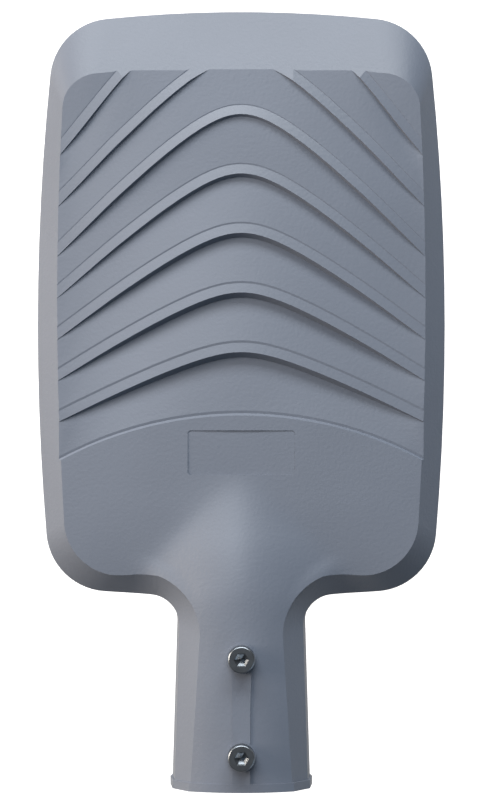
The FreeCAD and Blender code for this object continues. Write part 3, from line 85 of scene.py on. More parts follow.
# The area whose mesh is divided finely, and how closely a point's height and a corner's normal
# match the smooth back where they belong to it
FAN_START, FAN_END = 0.0885, 0.185
FAN_HALF = 0.075
FAN_LEVEL = 0.0172
FAN_CELL = 0.004
FAN_SPLITS = 5
BACK_MATCH = 0.0004
BACK_TURN = 0.96
SLOPE_STEP = 1e-4

# The shallow recess on the dome, whose floor is lifted a little
PLATE_HALF, PLATE_START, PLATE_END = 0.0275, 0.156, 0.1798
PLATE_LIFT = 0.00035

# The light window: the pane's middle and clear half sizes, the lens domes and the LEDs
PANE_MIDDLE = 0.286
FRIT_X, FRIT_Y = 0.0755, 0.072
LENS_PITCH = (0.018, 0.021)
LENS_COUNT = (8, 6)
LENS_BASE, LENS_HEIGHT = 0.0101, 0.0048
LENS_CUTS = 3
LENS_RINGS = 9
LENS_TURN = 86
LENS_FLANK, LENS_CROWN = 0.85, 0.9
LENS_SQUEEZE = 0.22
DIMPLE_START, DIMPLE_DEPTH = 0.82, 0.16
PLATE_GAP = 0.00008
CHIP_SIDE, CHIP_HEIGHT, CHIP_BOARD = 0.005, 0.0007, 0.0131
CHIP_INSET, CHIP_RECESS = 0.0006, 0.00012

# Screws and rounded edges
SCREW_SEGMENTS = 72
FRAME_ROUND, COVER_ROUND, SCREW_ROUND = 0.0004, 0.0006, 0.0002

# Mesh work: welding distance, nearly flat and sharp edges, and a small step in height
WELD = 2e-6
FLAT_ANGLE = 0.3
SHARP_ANGLE = 40.0
SMALL_STEP = 1e-5

# Finishes: noise cells per metre, the coat's shades, bump depth, and how clear parts bend light
COAT_CLOUD, COAT_COARSE, COAT_FINE = 14.0, 620.0, 1500.0
FRAME_SHADE, COVER_SHADE = 0.9, 0.97
METAL_PATCH, METAL_FINE = 260.0, 3200.0
PLASTIC_PATCH, PLASTIC_FINE = 60.0, 2200.0
ACRYLIC_HAZE = 90.0
FINE_BUMP = 4e-6
GLASS_IOR, ACRYLIC_IOR = 1.5, 1.49
PANE_TINT = (0.9, 0.97, 0.94)
BRASS = (0.62, 0.42, 0.13)

# Studio. Each lamp has its setting, azimuth (0 is the far end, 90 the left), height angle, size
# and colour.
FLOOR_MIDDLE, FLOOR_HALF = (0, 0.2, -0.3), 9.0
FLOOR_GREY, FLOOR_ROUGHNESS, FLOOR_GLOW = 0.6, 0.9, 0.86
AMBIENT_COLOUR = (0.92, 0.96, 1.0)
GLOSSY_SHARE = 0.12
LAMP_AIM, LAMP_DISTANCE = (0, 0.2, 0), 3.0
LAMPS = {
    "far lamp": ("far_light", 0, 31, (3.5, 1.2), (0.97, 1.0, 1.0)),
    "left lamp": ("left_light", 80, 22, (1.4, 1.6), (1.0, 0.87, 0.73)),
    "upper lamp": ("upper_light", 25, 62, (1.5, 1.5), (0.85, 0.92, 1.0)),
    "right lamp": ("right_light", 232, 35, (1.5, 1.0), (0.6, 0.8, 1.0)),
}
CAMERA_PLACE = (-0.000655, 0.1944, 1.508)
CAMERA_LENS, CAMERA_SENSOR, CAMERA_REACH = 133.9, 36, 20


# Node helpers

def new_material(name):
    """New node material, with its tree and its Principled shader."""
    material = bpy.data.materials.new(name)
    material.use_nodes = True
    tree = material.node_tree
    return material, tree, tree.nodes["Principled BSDF"]


def add_node(tree, kind, **values):
    """Node of a kind, with its properties and named inputs set."""
    node = tree.nodes.new(kind)
    for name, value in values.items():
        if hasattr(node, name):
            setattr(node, name, value)
        else:
            node.inputs[name.replace("_", " ")].default_value = value
    return node


def object_noise(tree, scale, detail=3.0, rough=0.5):
    """Noise on Object coordinates, in cells per metre."""
    place = add_node(tree, "ShaderNodeTexCoord")
    noise = add_node(tree, "ShaderNodeTexNoise", Scale=scale, Detail=detail, Roughness=rough)
    tree.links.new(place.outputs["Object"], noise.inputs["Vector"])
    return noise


def ramp(tree, source, low, high, start=0.35, stop=0.65):
    """Colour that goes from low to high as the source goes from start to stop."""
    node = add_node(tree, "ShaderNodeValToRGB")
    first, last = node.color_ramp.elements
    first.position, last.position = start, stop
    first.color, last.color = (*low, 1), (*high, 1)
    tree.links.new(source, node.inputs["Fac"])
    return node.outputs["Color"]


def bump(tree, shader, layers):
    """Bumps stacked on the shader's normal: pairs of height output and depth in metres."""
    last = None
    for height, depth in layers:
        node = add_node(tree, "ShaderNodeBump", Strength=1.0, Distance=depth)
        tree.links.new(height, node.inputs["Height"])
        if last:
            tree.links.new(last, node.inputs["Normal"])
        last = node.outputs["Normal"]
    tree.links.new(last, shader.inputs["Normal"])


def shade(colour, factor):
    """The colour made darker or lighter."""
    return tuple(min(1.0, c * factor) for c in colour)


# Finishes

def powder_coat(name, colour, roughness, grain):
    """Fine-textured powder coat: grain of two sizes and a faint cloudiness."""
    material, tree, shader = new_material(name)
    cloud = object_noise(tree, COAT_CLOUD, 2.0)
    tint = ramp(tree, cloud.outputs["Fac"], shade(colour, 0.97), shade(colour, 1.03))
    tree.links.new(tint, shader.inputs["Base Color"])
    fine = object_noise(tree, COAT_FINE, 2.0, 0.6)
    coarse = object_noise(tree, COAT_COARSE, 2.0)
    bump(tree, shader, [(fine.outputs["Fac"], grain * 0.5), (coarse.outputs["Fac"], grain * 3.0)])
    shader.inputs["Roughness"].default_value = roughness
    return material


def grained(name, colour, roughness, spread, patch_scale, fine_scale):
    """Material with patches a little darker and lighter, by the spread, and a fine grain."""
    material, tree, shader = new_material(name)
    patch = object_noise(tree, patch_scale)
    tint = ramp(tree, patch.outputs["Fac"], shade(colour, spread[0]), shade(colour, spread[1]))
    tree.links.new(tint, shader.inputs["Base Color"])
    fine = object_noise(tree, fine_scale)
    bump(tree, shader, [(fine.outputs["Fac"], FINE_BUMP)])
    shader.inputs["Roughness"].default_value = roughness
    return material, shader


def metal(name, colour, roughness):
    """Plated or bare metal, unevenly dull."""
    material, shader = grained(name, colour, roughness, (0.9, 1.08), METAL_PATCH, METAL_FINE)
    shader.inputs["Metallic"].default_value = 1.0
    return material


def plastic(name, colour, roughness):
    """Moulded plastic or rubber."""
    return grained(name, colour, roughness, (0.94, 1.06), PLASTIC_PATCH, PLASTIC_FINE)[0]


def see_through(name, colour, ior):
    """Clear material with its tree and shader."""
    material, tree, shader = new_material(name)
    shader.inputs["Base Color"].default_value = (*colour, 1)
    shader.inputs["IOR"].default_value = ior
    shader.inputs["Transmission Weight"].default_value = 1.0
    return material, tree, shader


def acrylic(name, colour):
    """Clear moulded acrylic with a trace of haze."""
    material, tree, shader = see_through(name, colour, ACRYLIC_IOR)
    patch = object_noise(tree, ACRYLIC_HAZE)
    haze = ramp(tree, patch.outputs["Fac"], (0.03,) * 3, (0.06,) * 3)
    tree.links.new(haze, shader.inputs["Roughness"])
    return material


def fritted_glass(name, frit_colour):
    """Tempered glass with a dark ceramic border, by its distance from the pane's middle."""
    material, tree, shader = see_through(name, PANE_TINT, GLASS_IOR)
    place = add_node(tree, "ShaderNodeTexCoord")
    split = add_node(tree, "ShaderNodeSeparateXYZ")
    tree.links.new(place.outputs["Object"], split.inputs["Vector"])
    beyond = []
    for axis, middle, clear_half in (("X", 0.0, FRIT_X), ("Y", PANE_MIDDLE, FRIT_Y)):
        centred = add_node(tree, "ShaderNodeMath", operation="SUBTRACT")
        centred.inputs[1].default_value = middle
        away = add_node(tree, "ShaderNodeMath", operation="ABSOLUTE")
        past = add_node(tree, "ShaderNodeMath", operation="GREATER_THAN")
        past.inputs[1].default_value = clear_half
        tree.links.new(split.outputs[axis], centred.inputs[0])
        tree.links.new(centred.outputs["Value"], away.inputs[0])
        tree.links.new(away.outputs["Value"], past.inputs[0])
        beyond.append(past)
    either = add_node(tree, "ShaderNodeMath", operation="MAXIMUM")
    for index, past in enumerate(beyond):
        tree.links.new(past.outputs["Value"], either.inputs[index])
    for socket, pane, border in (("Base Color", PANE_TINT, frit_colour),
                                 ("Roughness", (0.015,) * 3, (0.35,) * 3),
                                 ("Transmission Weight", (1,) * 3, (0,) * 3)):
        value = ramp(tree, either.outputs["Value"], pane, border, 0.4, 0.6)
        tree.links.new(value, shader.inputs[socket])
    return material


# Object and mesh helpers

def add_object(name, data):
    """Object in the scene with its data."""
    added = bpy.data.objects.new(name, data)
    bpy.context.scene.collection.objects.link(added)
    return added


def finish_piece(name, bm, materials, replaced, smooth_angle=30.0):
    """Turn a bmesh into a piece that rides on the part in place of CAD nodes."""
    mesh = bpy.data.meshes.new(name)
    limit = math.radians(smooth_angle)
    for face in bm.faces:
        face.smooth = True
    for edge in bm.edges:
        edge.smooth = len(edge.link_faces) == 2 and edge.calc_face_angle(0.0) < limit
    bm.to_mesh(mesh)
    bm.free()
    for material in materials:
        mesh.materials.append(material)
    piece = add_object(name, mesh)
    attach(piece, BODY)
    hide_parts(*replaced)
    return piece


def merged_copy(node):
    """Welded copy of a CAD node's mesh, with its flat faces joined up."""
    bm = bmesh.new()
    bm.from_mesh(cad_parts[node].data)
    bmesh.ops.remove_doubles(bm, verts=bm.verts, dist=WELD)
    bmesh.ops.dissolve_limit(bm, angle_limit=math.radians(FLAT_ANGLE), verts=bm.verts,
                             edges=bm.edges)
    return bm


def softened(node, name, material, width):
    """Copy of a CAD node with its sharp edges rounded, in the node's place."""
    bm = merged_copy(node)
    limit = math.radians(SHARP_ANGLE)
    sharp = [e for e in bm.edges if len(e.link_faces) == 2 and e.calc_face_angle(0.0) > limit]
    bmesh.ops.bevel(bm, geom=sharp, offset=width, offset_type="OFFSET", affect="EDGES", segments=2,
                    profile=0.5, clamp_overlap=True, material=-1)
    return finish_piece(name, bm, [material], [node])


def give(node, material):
    """A new material for a CAD node that keeps its own mesh."""
    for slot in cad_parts[node].material_slots:
        slot.material = material


# Settings

class CoatSettings(bpy.types.PropertyGroup):
    """The powder coat"""
    colour: FloatVectorProperty(name="Coat colour", description="Colour of the powder coat",
                                subtype="COLOR", size=3, min=0, max=1,
                                default=(0.181, 0.205, 0.258))
    roughness: FloatProperty(name="Coat roughness", description="0 is glossy, 1 is matt",
                             subtype="FACTOR", min=0, max=1, default=0.44)
    grain: FloatProperty(name="Grain", description="Depth of the coat's grain", subtype="DISTANCE",
                         unit="LENGTH", precision=6, default=3.4e-5)


class StudioSettings(bpy.types.PropertyGroup):
    """The lamps"""
    far_light: FloatProperty(name="Far light", unit="POWER", default=98.0,
                             description="Power of the wide lamp beyond the far end")
    left_light: FloatProperty(name="Left light", unit="POWER", default=88.0,
                              description="Power of the warm lamp at the left")
    upper_light: FloatProperty(name="Upper light", unit="POWER", default=24.0,
                               description="Power of the lamp high above the far end")
    right_light: FloatProperty(name="Right light", unit="POWER", default=8.0,
                               description="Power of the faint cool lamp at the near right")
    ambient: FloatProperty(name="Ambient", description="Strength of the even light from all sides",
                           min=0, default=0.03)


# Housing

def smooth_step(share):
    """Eased share, held between 0 and 1."""
    share = min(1.0, max(0.0, share))
    return share * share * (3 - 2 * share)


def dome_height(x, y):
    """Height of the crowned dome."""
    near = max(0.0, (DOME_NEAR - y) / DOME_RUN)
    return CREST + DOME_RISE * (1 - (x / TERRACE_HALF) ** 2) * (1 - near ** 2)


def ridge_fall(y, start, bend_length, slope):
    """How far a ridge has come down: it bends over a length, then falls evenly."""
    past = max(0.0, y - start)
    bend = min(past, bend_length)
    return slope * (bend ** 2 / (2 * bend_length) + past - bend)


def blended(dome, ridge):
    """The higher of two surfaces, with a rounded joint."""
    return (dome + ridge + math.hypot(dome - ridge, 2 * BLEND)) / 2


def cast_height(x, y):
    """Height of the smooth back as the CAD has it."""
    past = max(0.0, y - RIDGE_END)
    fall = ridge_fall(y, RIDGE_END, RIDGE_BEND, RIDGE_FALL)
    ridge = RIDGE_HEIGHT - fall - x ** 2 / (2 * (RIDGE_RADIUS + RIDGE_SPREAD * past))
    return blended(dome_height(x, y), ridge)


def crisp_height(x, y):
    """The same back with steeper flanks beside a narrow spine, fading out beside the notches."""
    fall = ridge_fall(y, SPINE_START, SPINE_BEND, SPINE_FALL)
    roof = smooth_step((y - RIDGE_END) / SPINE_GROWTH)
    flank = FLANK_SLOPE * (math.hypot(x, SPINE_RADIUS) - SPINE_RADIUS)
    ridge = RIDGE_HEIGHT - fall - roof * flank - (1 - roof) * x ** 2 / (2 * RIDGE_RADIUS)
    crisp = blended(dome_height(x, y), ridge)
    aside = min(abs(x), NOTCH_CENTRE[0]) - NOTCH_CENTRE[0]
    gap = math.hypot(aside, y - NOTCH_CENTRE[1]) - NOTCH_RADIUS
    cast = cast_height(x, y)
    return cast + (crisp - cast) * smooth_step(gap / NOTCH_FADE)


def back_normal(height, x, y):
    """Normal of a height function's surface."""
    across = height(x + SLOPE_STEP, y) - height(x - SLOPE_STEP, y)
    along = height(x, y + SLOPE_STEP) - height(x, y - SLOPE_STEP)
    return Vector((-across, -along, 2 * SLOPE_STEP)).normalized()


def crisp_fan(bm):
    """Divide the smooth back finely near the ridge's foot, and make its flanks steeper."""
    back = bm.faces.layers.int.new("back")

    def on_back(co):
        return (FAN_LEVEL < co.z and co.y < FAN_END
                and abs(co.z - cast_height(co.x, co.y)) < BACK_MATCH)

    def near_fan(face):
        middle = face.calc_center_median()
        return face[back] and FAN_START < middle.y < FAN_END and abs(middle.x) < FAN_HALF

    for face in bm.faces:
        face[back] = int(all(on_back(v.co) for v in face.verts))
    for _ in range(FAN_SPLITS):
        edges = {e for f in bm.faces if near_fan(f) for e in f.edges if e.calc_length() > FAN_CELL}
        if not edges:
            break
        bmesh.ops.subdivide_edges(bm, edges=list(edges), cuts=1, use_grid_fill=False)
        bmesh.ops.triangulate(bm, faces=[f for f in bm.faces if len(f.verts) > 3])
    for vert in bm.verts:
        x, y, z = vert.co
        if y > FAN_START and z > FAN_LEVEL:
            cast = cast_height(x, y)
            in_plate = (abs(x) < PLATE_HALF and PLATE_START < y < PLATE_END
                        and z < cast - PLATE_LIFT)
            vert.co.z += crisp_height(x, y) - cast + (PLATE_LIFT if in_plate else 0)


def shell_normals(bm, layer):
    """Corner normals: the CAD's own, and the steeper surface's on the smooth back."""
    normals = []
    for face in bm.faces:
        for loop in face.loops:
            x, y, z = loop.vert.co
            cad = loop[layer].normalized()
            smooth = (FAN_START < y < FAN_END and abs(z - crisp_height(x, y)) < BACK_MATCH
                      and cad.dot(back_normal(cast_height, x, y)) > BACK_TURN)
            normals.append(back_normal(crisp_height, x, y) if smooth else cad)
    return normals


class STREETLIGHT_OT_housing(bpy.types.Operator):
    """Powder-coated die-casting"""
    bl_idname = "streetlight.housing"
    bl_label = "Housing"

    def execute(self, context):
        coat = context.scene.street_coat
        material = powder_coat("housing coat", coat.colour, coat.roughness, coat.grain)
        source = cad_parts["housing"].data
        bm = bmesh.new()
        bm.from_mesh(source)
        layer = bm.loops.layers.float_vector.new("cad_normal")
        corners = iter(source.corner_normals)
        for face in bm.faces:
            for loop in face.loops:
                loop[layer] = next(corners).vector
        bmesh.ops.remove_doubles(bm, verts=bm.verts, dist=WELD)
        crisp_fan(bm)
        normals = shell_normals(bm, layer)
        shell = finish_piece("housing_shell", bm, [material], ["housing"],
                             smooth_angle=180.0)
        shell.data.normals_split_custom_set(normals)
        return {"FINISHED"}


# Clamp screws

def extruded(bm, edges):
    """Extrude a ring of edges; returns the new ring's points and edges."""
    made = bmesh.ops.extrude_edge_only(bm, edges=edges)["geom"]
    points = [g for g in made if isinstance(g, bmesh.types.BMVert)]
    ring = [g for g in made if isinstance(g, bmesh.types.BMEdge) and len(g.link_faces) == 1]
    return points, ring


def grow(bm, edges, radius, z):
    """Extrude a round ring of edges to another radius and height."""
    points, ring = extruded(bm, edges)
    for vert in points:
        vert.co = (vert.co.xy.normalized() * radius).to_3d()
        vert.co.z = z
    return ring


def hexagon(face, inner_radius):
    """Bring a round face's corners onto a hexagon about the Z axis."""
    for vert in face.verts:
        turn = math.atan2(vert.co.y, vert.co.x) % (math.pi / 3) - math.pi / 6
        vert.co.xy = vert.co.xy.normalized() * inner_radius / math.cos(turn)


class ClampScrew:
    """Sizes of a clamp screw; key is half the hexagon's width across its flats"""
    radius = 0.004
    head_radius = 0.00665
    head_height = 0.008
    chamfer = 0.0006
    flute = 0.00022
    key = 0.003
    key_chamfer = 0.00025
    key_depth = 0.0028
    point = 0.0018


def socket_screw(centre, top, tip, size):
    """Screw with a chamfered, fluted head, a shank and a hexagon socket with a drilled point."""
    head, shank, chamfer = size.head_radius, size.radius, size.chamfer
    under = top - size.head_height
    bm = bmesh.new()
    bmesh.ops.create_circle(bm, cap_ends=True, segments=SCREW_SEGMENTS, radius=head - chamfer,
                            matrix=Matrix.Translation((0, 0, top)))
    face = bm.faces[:][0]
    rim = grow(bm, list(face.edges), head - 0.4 * chamfer, top - 0.36 * chamfer)
    rim = grow(bm, rim, head, top - chamfer)
    rim = grow(bm, rim, head, top - 2 * chamfer)
    flute_top = grow(bm, rim, head, top - 2.3 * chamfer)
    flute_end = grow(bm, flute_top, head, under + chamfer)
    for edges in (flute_top, flute_end):
        around = sorted({v for e in edges for v in e.verts},
                        key=lambda v: math.atan2(v.co.y, v.co.x))
        for vert in around[::2]:
            vert.co.xy *= 1 - size.flute / head
    rim = grow(bm, flute_end, head, under + 0.6 * chamfer)
    rim = grow(bm, rim, head - 0.4 * chamfer, under)
    rim = grow(bm, rim, shank, under)
    rim = grow(bm, rim, shank, tip + 0.8 * chamfer)
    rim = grow(bm, rim, shank - 0.8 * chamfer, tip)
    bmesh.ops.contextual_create(bm, geom=rim)
    bmesh.ops.inset_individual(bm, faces=[face], thickness=0.2 * head)
    hexagon(face, size.key + size.key_chamfer)
    for depth in (size.key_chamfer, size.key_depth):
        face = bmesh.ops.extrude_discrete_faces(bm, faces=[face])["faces"][0]
        hexagon(face, size.key)
        for vert in face.verts:
            vert.co.z = top - depth
    drilled = bmesh.ops.poke(bm, faces=[face])["verts"][0]
    drilled.co = (0, 0, top - size.key_depth - size.point)
    bmesh.ops.recalc_face_normals(bm, faces=bm.faces)
    bmesh.ops.translate(bm, verts=bm.verts, vec=centre)
    return bm


def joined(parts):
    """One bmesh from several."""
    whole = bmesh.new()
    for part in parts:
        mesh = bpy.data.meshes.new("part")
        part.to_mesh(mesh)
        part.free()
        whole.from_mesh(mesh)
        bpy.data.meshes.remove(mesh)
    return whole


class STREETLIGHT_OT_bolts(bpy.types.Operator):
    """Two socket-head clamp screws on the neck"""
    bl_idname = "streetlight.bolts"
    bl_label = "Clamp screws"

    def execute(self, context):
        low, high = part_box("clamp_bolts")
        stations = (low[1] + ClampScrew.head_radius, high[1] - ClampScrew.head_radius)
        screws = [socket_screw((0, y, 0), high[2], low[2], ClampScrew) for y in stations]
        material = metal("zinc-plated steel", (0.21, 0.23, 0.255), 0.33)
        finish_piece("clamp_screws", joined(screws), [material], ["clamp_bolts"],
                     smooth_angle=25.0)
        return {"FINISHED"}


# Lenses and LEDs

def lens_places():
    """Middles of the lenses, row by row."""
    for row in range(LENS_COUNT[1]):
        for column in range(LENS_COUNT[0]):
            yield (LENS_PITCH[0] * (column - (LENS_COUNT[0] - 1) / 2),
                   PANE_MIDDLE + LENS_PITCH[1] * (row - (LENS_COUNT[1] - 1) / 2))


def lens_dome(bm, ring, middle):
    """Close a round hole with a smooth dome that hangs down, narrower along Y, with a dimple."""
    foot = max((v.co.xy - middle).length for e in ring for v in e.verts)
    for vert in {v for e in ring for v in e.verts}:
        vert.co.xy = middle + (vert.co.xy - middle).normalized() * foot
    for step in range(1, LENS_RINGS + 1):
        turn = math.radians(LENS_TURN) * step / LENS_RINGS
        points, ring = extruded(bm, ring)
        for vert in points:
            out = (vert.co.xy - middle).normalized()
            oval = 1 - LENS_SQUEEZE * math.sin(turn) * out.y ** 2
            vert.co.xy = middle + out * foot * math.cos(turn) ** LENS_FLANK * oval
            dimple = DIMPLE_DEPTH * max(0.0, math.sin(turn) - DIMPLE_START) / (1 - DIMPLE_START)
            vert.co.z = LENS_BASE - LENS_HEIGHT * math.sin(turn) ** LENS_CROWN * (1 - dimple)
    bmesh.ops.contextual_create(bm, geom=ring)


class STREETLIGHT_OT_lenses(bpy.types.Operator):
    """Lens plate with a smooth, slightly oval lens over each LED"""
    bl_idname = "streetlight.lenses"
    bl_label = "Lenses"

    def execute(self, context):
        bm = merged_copy("lens_plate")
        blocks = [f for f in bm.faces if f.calc_center_median().z < LENS_BASE - SMALL_STEP]
        if not blocks:
            raise RuntimeError("no lens blocks on the plate")
        bmesh.ops.delete(bm, geom=blocks, context="FACES")
        loose = [v for v in bm.verts if not v.link_faces]
        bmesh.ops.delete(bm, geom=loose, context="VERTS")
        open_edges = [e for e in bm.edges if len(e.link_faces) == 1]
        bmesh.ops.subdivide_edges(bm, edges=open_edges, cuts=LENS_CUTS)
        open_edges = [e for e in bm.edges if len(e.link_faces) == 1]
        reach = LENS_PITCH[0] / 2
        for x, y in lens_places():
            ring = [e for e in open_edges
                    if all(abs(v.co.x - x) < reach and abs(v.co.y - y) < reach for v in e.verts)]
            lens_dome(bm, ring, Vector((x, y)))
        for vert in bm.verts:
            if vert.co.z > CHIP_BOARD - SMALL_STEP:
                vert.co.z -= PLATE_GAP
        bmesh.ops.recalc_face_normals(bm, faces=bm.faces)
        material = acrylic("clear acrylic", (0.96, 0.98, 0.98))
        finish_piece("lens_array", bm, [material], ["lens_plate"],
                     smooth_angle=35.0)
        return {"FINISHED"}


class STREETLIGHT_OT_chips(bpy.types.Operator):
    """LEDs: white packages with a recessed phosphor window"""
    bl_idname = "streetlight.chips"
    bl_label = "LEDs"

    def execute(self, context):
        bm = bmesh.new()
        for x, y in lens_places():
            lift = Matrix.Translation((x, y, CHIP_BOARD - CHIP_HEIGHT / 2))
            size = Matrix.Diagonal((CHIP_SIDE, CHIP_SIDE, CHIP_HEIGHT, 1))
            verts = bmesh.ops.create_cube(bm, size=1.0, matrix=lift @ size)["verts"]
            upright = [e for e in {e for v in verts for e in v.link_edges}
                       if abs(e.verts[0].co.z - e.verts[1].co.z) > CHIP_HEIGHT / 2]
            bmesh.ops.bevel(bm, geom=upright, offset=CHIP_INSET / 2, offset_type="OFFSET",
                            affect="EDGES", segments=3, profile=0.5, material=-1)
        windows = [f for f in bm.faces if f.normal.z < -0.9]
        bmesh.ops.inset_individual(bm, faces=windows, thickness=CHIP_INSET)
        for face in windows:
            face.material_index = 1
            pushed = bmesh.ops.extrude_discrete_faces(bm, faces=[face])["faces"][0]
            for vert in pushed.verts:
                vert.co.z += CHIP_RECESS
        package = plastic("led package", (0.8, 0.8, 0.78), 0.4)
        phosphor = plastic("phosphor", (0.85, 0.56, 0.05), 0.25)
        finish_piece("led_packages", bm, [package, phosphor], ["led_chips"],
                     smooth_angle=35.0)
        return {"FINISHED"}


# Underside

class STREETLIGHT_OT_underside(bpy.types.Operator):
    """Frame, cover, screws, gaskets and what stands behind the glass"""
    bl_idname = "streetlight.underside"
    bl_label = "Underside"

    def execute(self, context):
        coat = context.scene.street_coat
        surface = (coat.roughness, coat.grain)
        frame_coat = powder_coat("frame coat", shade(coat.colour, FRAME_SHADE), *surface)
        cover_coat = powder_coat("cover coat", shade(coat.colour, COVER_SHADE), *surface)
        stainless = metal("stainless steel", (0.58, 0.58, 0.57), 0.3)
        silicone = plastic("silicone", (0.02, 0.02, 0.022), 0.6)
        nylon = plastic("black nylon", (0.018, 0.018, 0.02), 0.45)
        finishes = {
            "lens_screws": stainless, "driver_screws": stainless,
            "terminal_screws": stainless, "surge_screws": stainless,
            "glass_gasket": silicone, "driver_cover_gasket": silicone,
            "gland_seal": silicone, "wire_grommet": silicone,
            "vent_plug": nylon, "gland_body": nylon, "gland_nut": nylon, "gland_locknut": nylon,
            "thermal_pad": plastic("heat pad", (0.17, 0.21, 0.3), 0.7),
            "led_board": plastic("white solder mask", (0.75, 0.76, 0.73), 0.35),
            "glass_cover": fritted_glass("tempered glass", (0.012, 0.012, 0.013)),
            "led_driver": plastic("driver case", (0.5, 0.5, 0.5), 0.4),
            "terminal_block": plastic("off-white nylon", (0.62, 0.61, 0.55), 0.5),
            "surge_protector": plastic("red case", (0.32, 0.02, 0.01), 0.45),
            "earth_screw": metal("bright brass", BRASS, 0.3),
            "earth_washer": metal("brass", BRASS, 0.35),
        }
        for node, material in finishes.items():
            give(node, material)
        softened("glass_frame", "window_frame", frame_coat, FRAME_ROUND)
        softened("driver_cover", "bay_cover", cover_coat, COVER_ROUND)
        softened("frame_screws", "window_screws", stainless, SCREW_ROUND)
        softened("cover_screws", "bay_screws", stainless, SCREW_ROUND)
        return {"FINISHED"}


# Studio

def soft_lamp(name, power, azimuth, height, size, colour):
    """Rectangular lamp aimed at the head."""
    data = bpy.data.lights.new(name, "AREA")
    data.shape = "RECTANGLE"
    data.size, data.size_y = size
    data.energy = power
    data.color = colour
    lamp = add_object(name, data)
    turn, rise = math.radians(azimuth), math.radians(height)
    away = Vector((-math.sin(turn) * math.cos(rise), math.cos(turn) * math.cos(rise),
                   math.sin(rise)))
    lamp.location = Vector(LAMP_AIM) + away * LAMP_DISTANCE
    lamp.rotation_euler = away.to_track_quat("Z", "Y").to_euler()


def seen_rays(tree):
    """1 for rays that come straight or through glass, and a share of that for reflections."""
    path = add_node(tree, "ShaderNodeLightPath")
    straight = add_node(tree, "ShaderNodeMath", operation="ADD", use_clamp=True)
    mirrored = add_node(tree, "ShaderNodeMath", operation="MULTIPLY_ADD", use_clamp=True)
    tree.links.new(path.outputs["Is Camera Ray"], straight.inputs[0])
    tree.links.new(path.outputs["Is Transmission Ray"], straight.inputs[1])
    tree.links.new(path.outputs["Is Glossy Ray"], mirrored.inputs[0])
    mirrored.inputs[1].default_value = GLOSSY_SHARE
    tree.links.new(straight.outputs["Value"], mirrored.inputs[2])
    return mirrored.outputs["Value"]


def mixed(tree, share, first, second):
    """Mix of two shaders, by the share of the second."""
    mix = add_node(tree, "ShaderNodeMixShader")
    tree.links.new(share, mix.inputs["Fac"])
    tree.links.new(first, mix.inputs[1])
    tree.links.new(second, mix.inputs[2])
    return mix.outputs["Shader"]


def pale_floor():
    """Floor that looks white, lights the head only a little, and can't be seen from below."""
    bm = bmesh.new()
    bmesh.ops.create_grid(bm, x_segments=1, y_segments=1, size=FLOOR_HALF,
                          matrix=Matrix.Translation(FLOOR_MIDDLE))
    mesh = bpy.data.meshes.new("floor")
    bm.to_mesh(mesh)
    bm.free()
    floor = add_object("floor", mesh)
    material, tree, shader = new_material("pale floor")
    shader.inputs["Base Color"].default_value = (FLOOR_GREY, FLOOR_GREY, FLOOR_GREY, 1)
    shader.inputs["Roughness"].default_value = FLOOR_ROUGHNESS
    glow = add_node(tree, "ShaderNodeEmission", Strength=FLOOR_GLOW)
    lit = add_node(tree, "ShaderNodeAddShader")
    tree.links.new(shader.outputs["BSDF"], lit.inputs[0])
    tree.links.new(glow.outputs["Emission"], lit.inputs[1])
    above = mixed(tree, seen_rays(tree), shader.outputs["BSDF"], lit.outputs["Shader"])
    side = add_node(tree, "ShaderNodeNewGeometry")
    path = add_node(tree, "ShaderNodeLightPath")
    below = add_node(tree, "ShaderNodeMath", operation="MULTIPLY")
    tree.links.new(side.outputs["Backfacing"], below.inputs[0])
    tree.links.new(path.outputs["Is Camera Ray"], below.inputs[1])
    nothing = add_node(tree, "ShaderNodeBsdfTransparent")
    surface = mixed(tree, below.outputs["Value"], above, nothing.outputs["BSDF"])
    tree.links.new(surface, tree.nodes["Material Output"].inputs["Surface"])
    mesh.materials.append(material)


def surroundings(ambient):
    """World that looks white and lights the head faintly from all sides."""
    world = bpy.data.worlds.new("studio")
    bpy.context.scene.world = world
    world.use_nodes = True
    tree = world.node_tree
    faint = tree.nodes["Background"]
    faint.inputs["Color"].default_value = (*AMBIENT_COLOUR, 1)
    faint.inputs["Strength"].default_value = ambient
    white = add_node(tree, "ShaderNodeBackground", Color=(1, 1, 1, 1), Strength=1.0)
    surface = mixed(tree, seen_rays(tree), faint.outputs["Background"], white.outputs["Background"])
    tree.links.new(surface, tree.nodes["World Output"].inputs["Surface"])


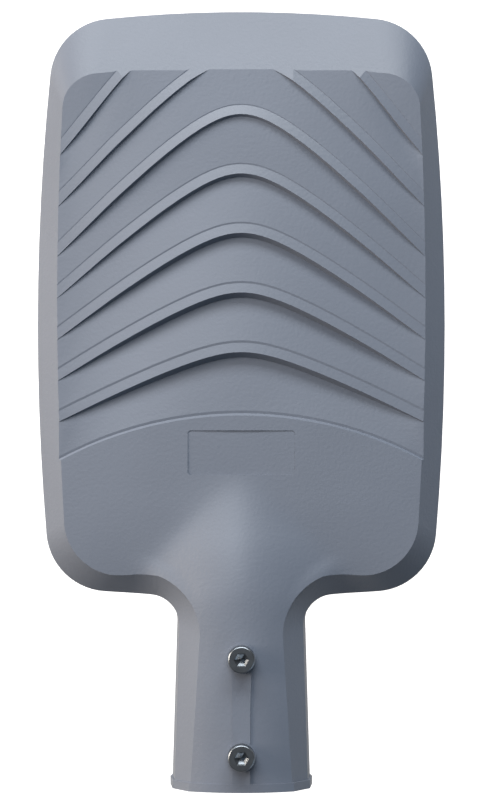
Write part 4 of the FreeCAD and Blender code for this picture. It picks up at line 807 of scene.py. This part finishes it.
class STREETLIGHT_OT_studio(bpy.types.Operator):
    """Pale floor, white surroundings, soft lamps and the camera above the head"""
    bl_idname = "streetlight.studio"
    bl_label = "Studio"

    def execute(self, context):
        scene = context.scene
        studio = scene.street_studio
        scene.view_settings.view_transform = "Standard"
        pale_floor()
        surroundings(studio.ambient)
        for name, (setting, *place, colour) in LAMPS.items():
            soft_lamp(name, getattr(studio, setting), *place, colour)
        data = bpy.data.cameras.new("camera")
        data.sensor_width = CAMERA_SENSOR
        data.lens = CAMERA_LENS
        data.clip_end = CAMERA_REACH
        camera = add_object("camera", data)
        camera.location = CAMERA_PLACE
        scene.camera = camera
        return {"FINISHED"}


# Panel and main

class STREETLIGHT_PT_panel(bpy.types.Panel):
    """The settings, and a button for each group of pieces"""
    bl_idname = "STREETLIGHT_PT_panel"
    bl_label = "Street light head"
    bl_space_type = "VIEW_3D"
    bl_region_type = "UI"
    bl_category = "Street light"

    def draw(self, context):
        layout = self.layout
        for settings in SETTINGS:
            group = getattr(context.scene, settings)
            for name in group.__annotations__:
                layout.prop(group, name)
        for operator in OPERATORS:
            layout.operator(operator.bl_idname)


SETTINGS = {"street_coat": CoatSettings, "street_studio": StudioSettings}
OPERATORS = [STREETLIGHT_OT_studio, STREETLIGHT_OT_housing, STREETLIGHT_OT_bolts,
             STREETLIGHT_OT_lenses, STREETLIGHT_OT_chips, STREETLIGHT_OT_underside]


def register():
    """Add the settings, the operators and the panel."""
    for group in SETTINGS.values():
        bpy.utils.register_class(group)
    for name, group in SETTINGS.items():
        setattr(bpy.types.Scene, name, PointerProperty(type=group))
    for operator in OPERATORS:
        bpy.utils.register_class(operator)
    bpy.utils.register_class(STREETLIGHT_PT_panel)


def unregister():
    """Take them away again."""
    bpy.utils.unregister_class(STREETLIGHT_PT_panel)
    for operator in reversed(OPERATORS):
        bpy.utils.unregister_class(operator)
    for name in SETTINGS:
        delattr(bpy.types.Scene, name)
    for group in reversed(list(SETTINGS.values())):
        bpy.utils.unregister_class(group)


def main():
    """Build every piece."""
    register()
    for operator in OPERATORS:
        group, name = operator.bl_idname.split(".")
        getattr(getattr(bpy.ops, group), name)()


if __name__ == "__main__":
    main()
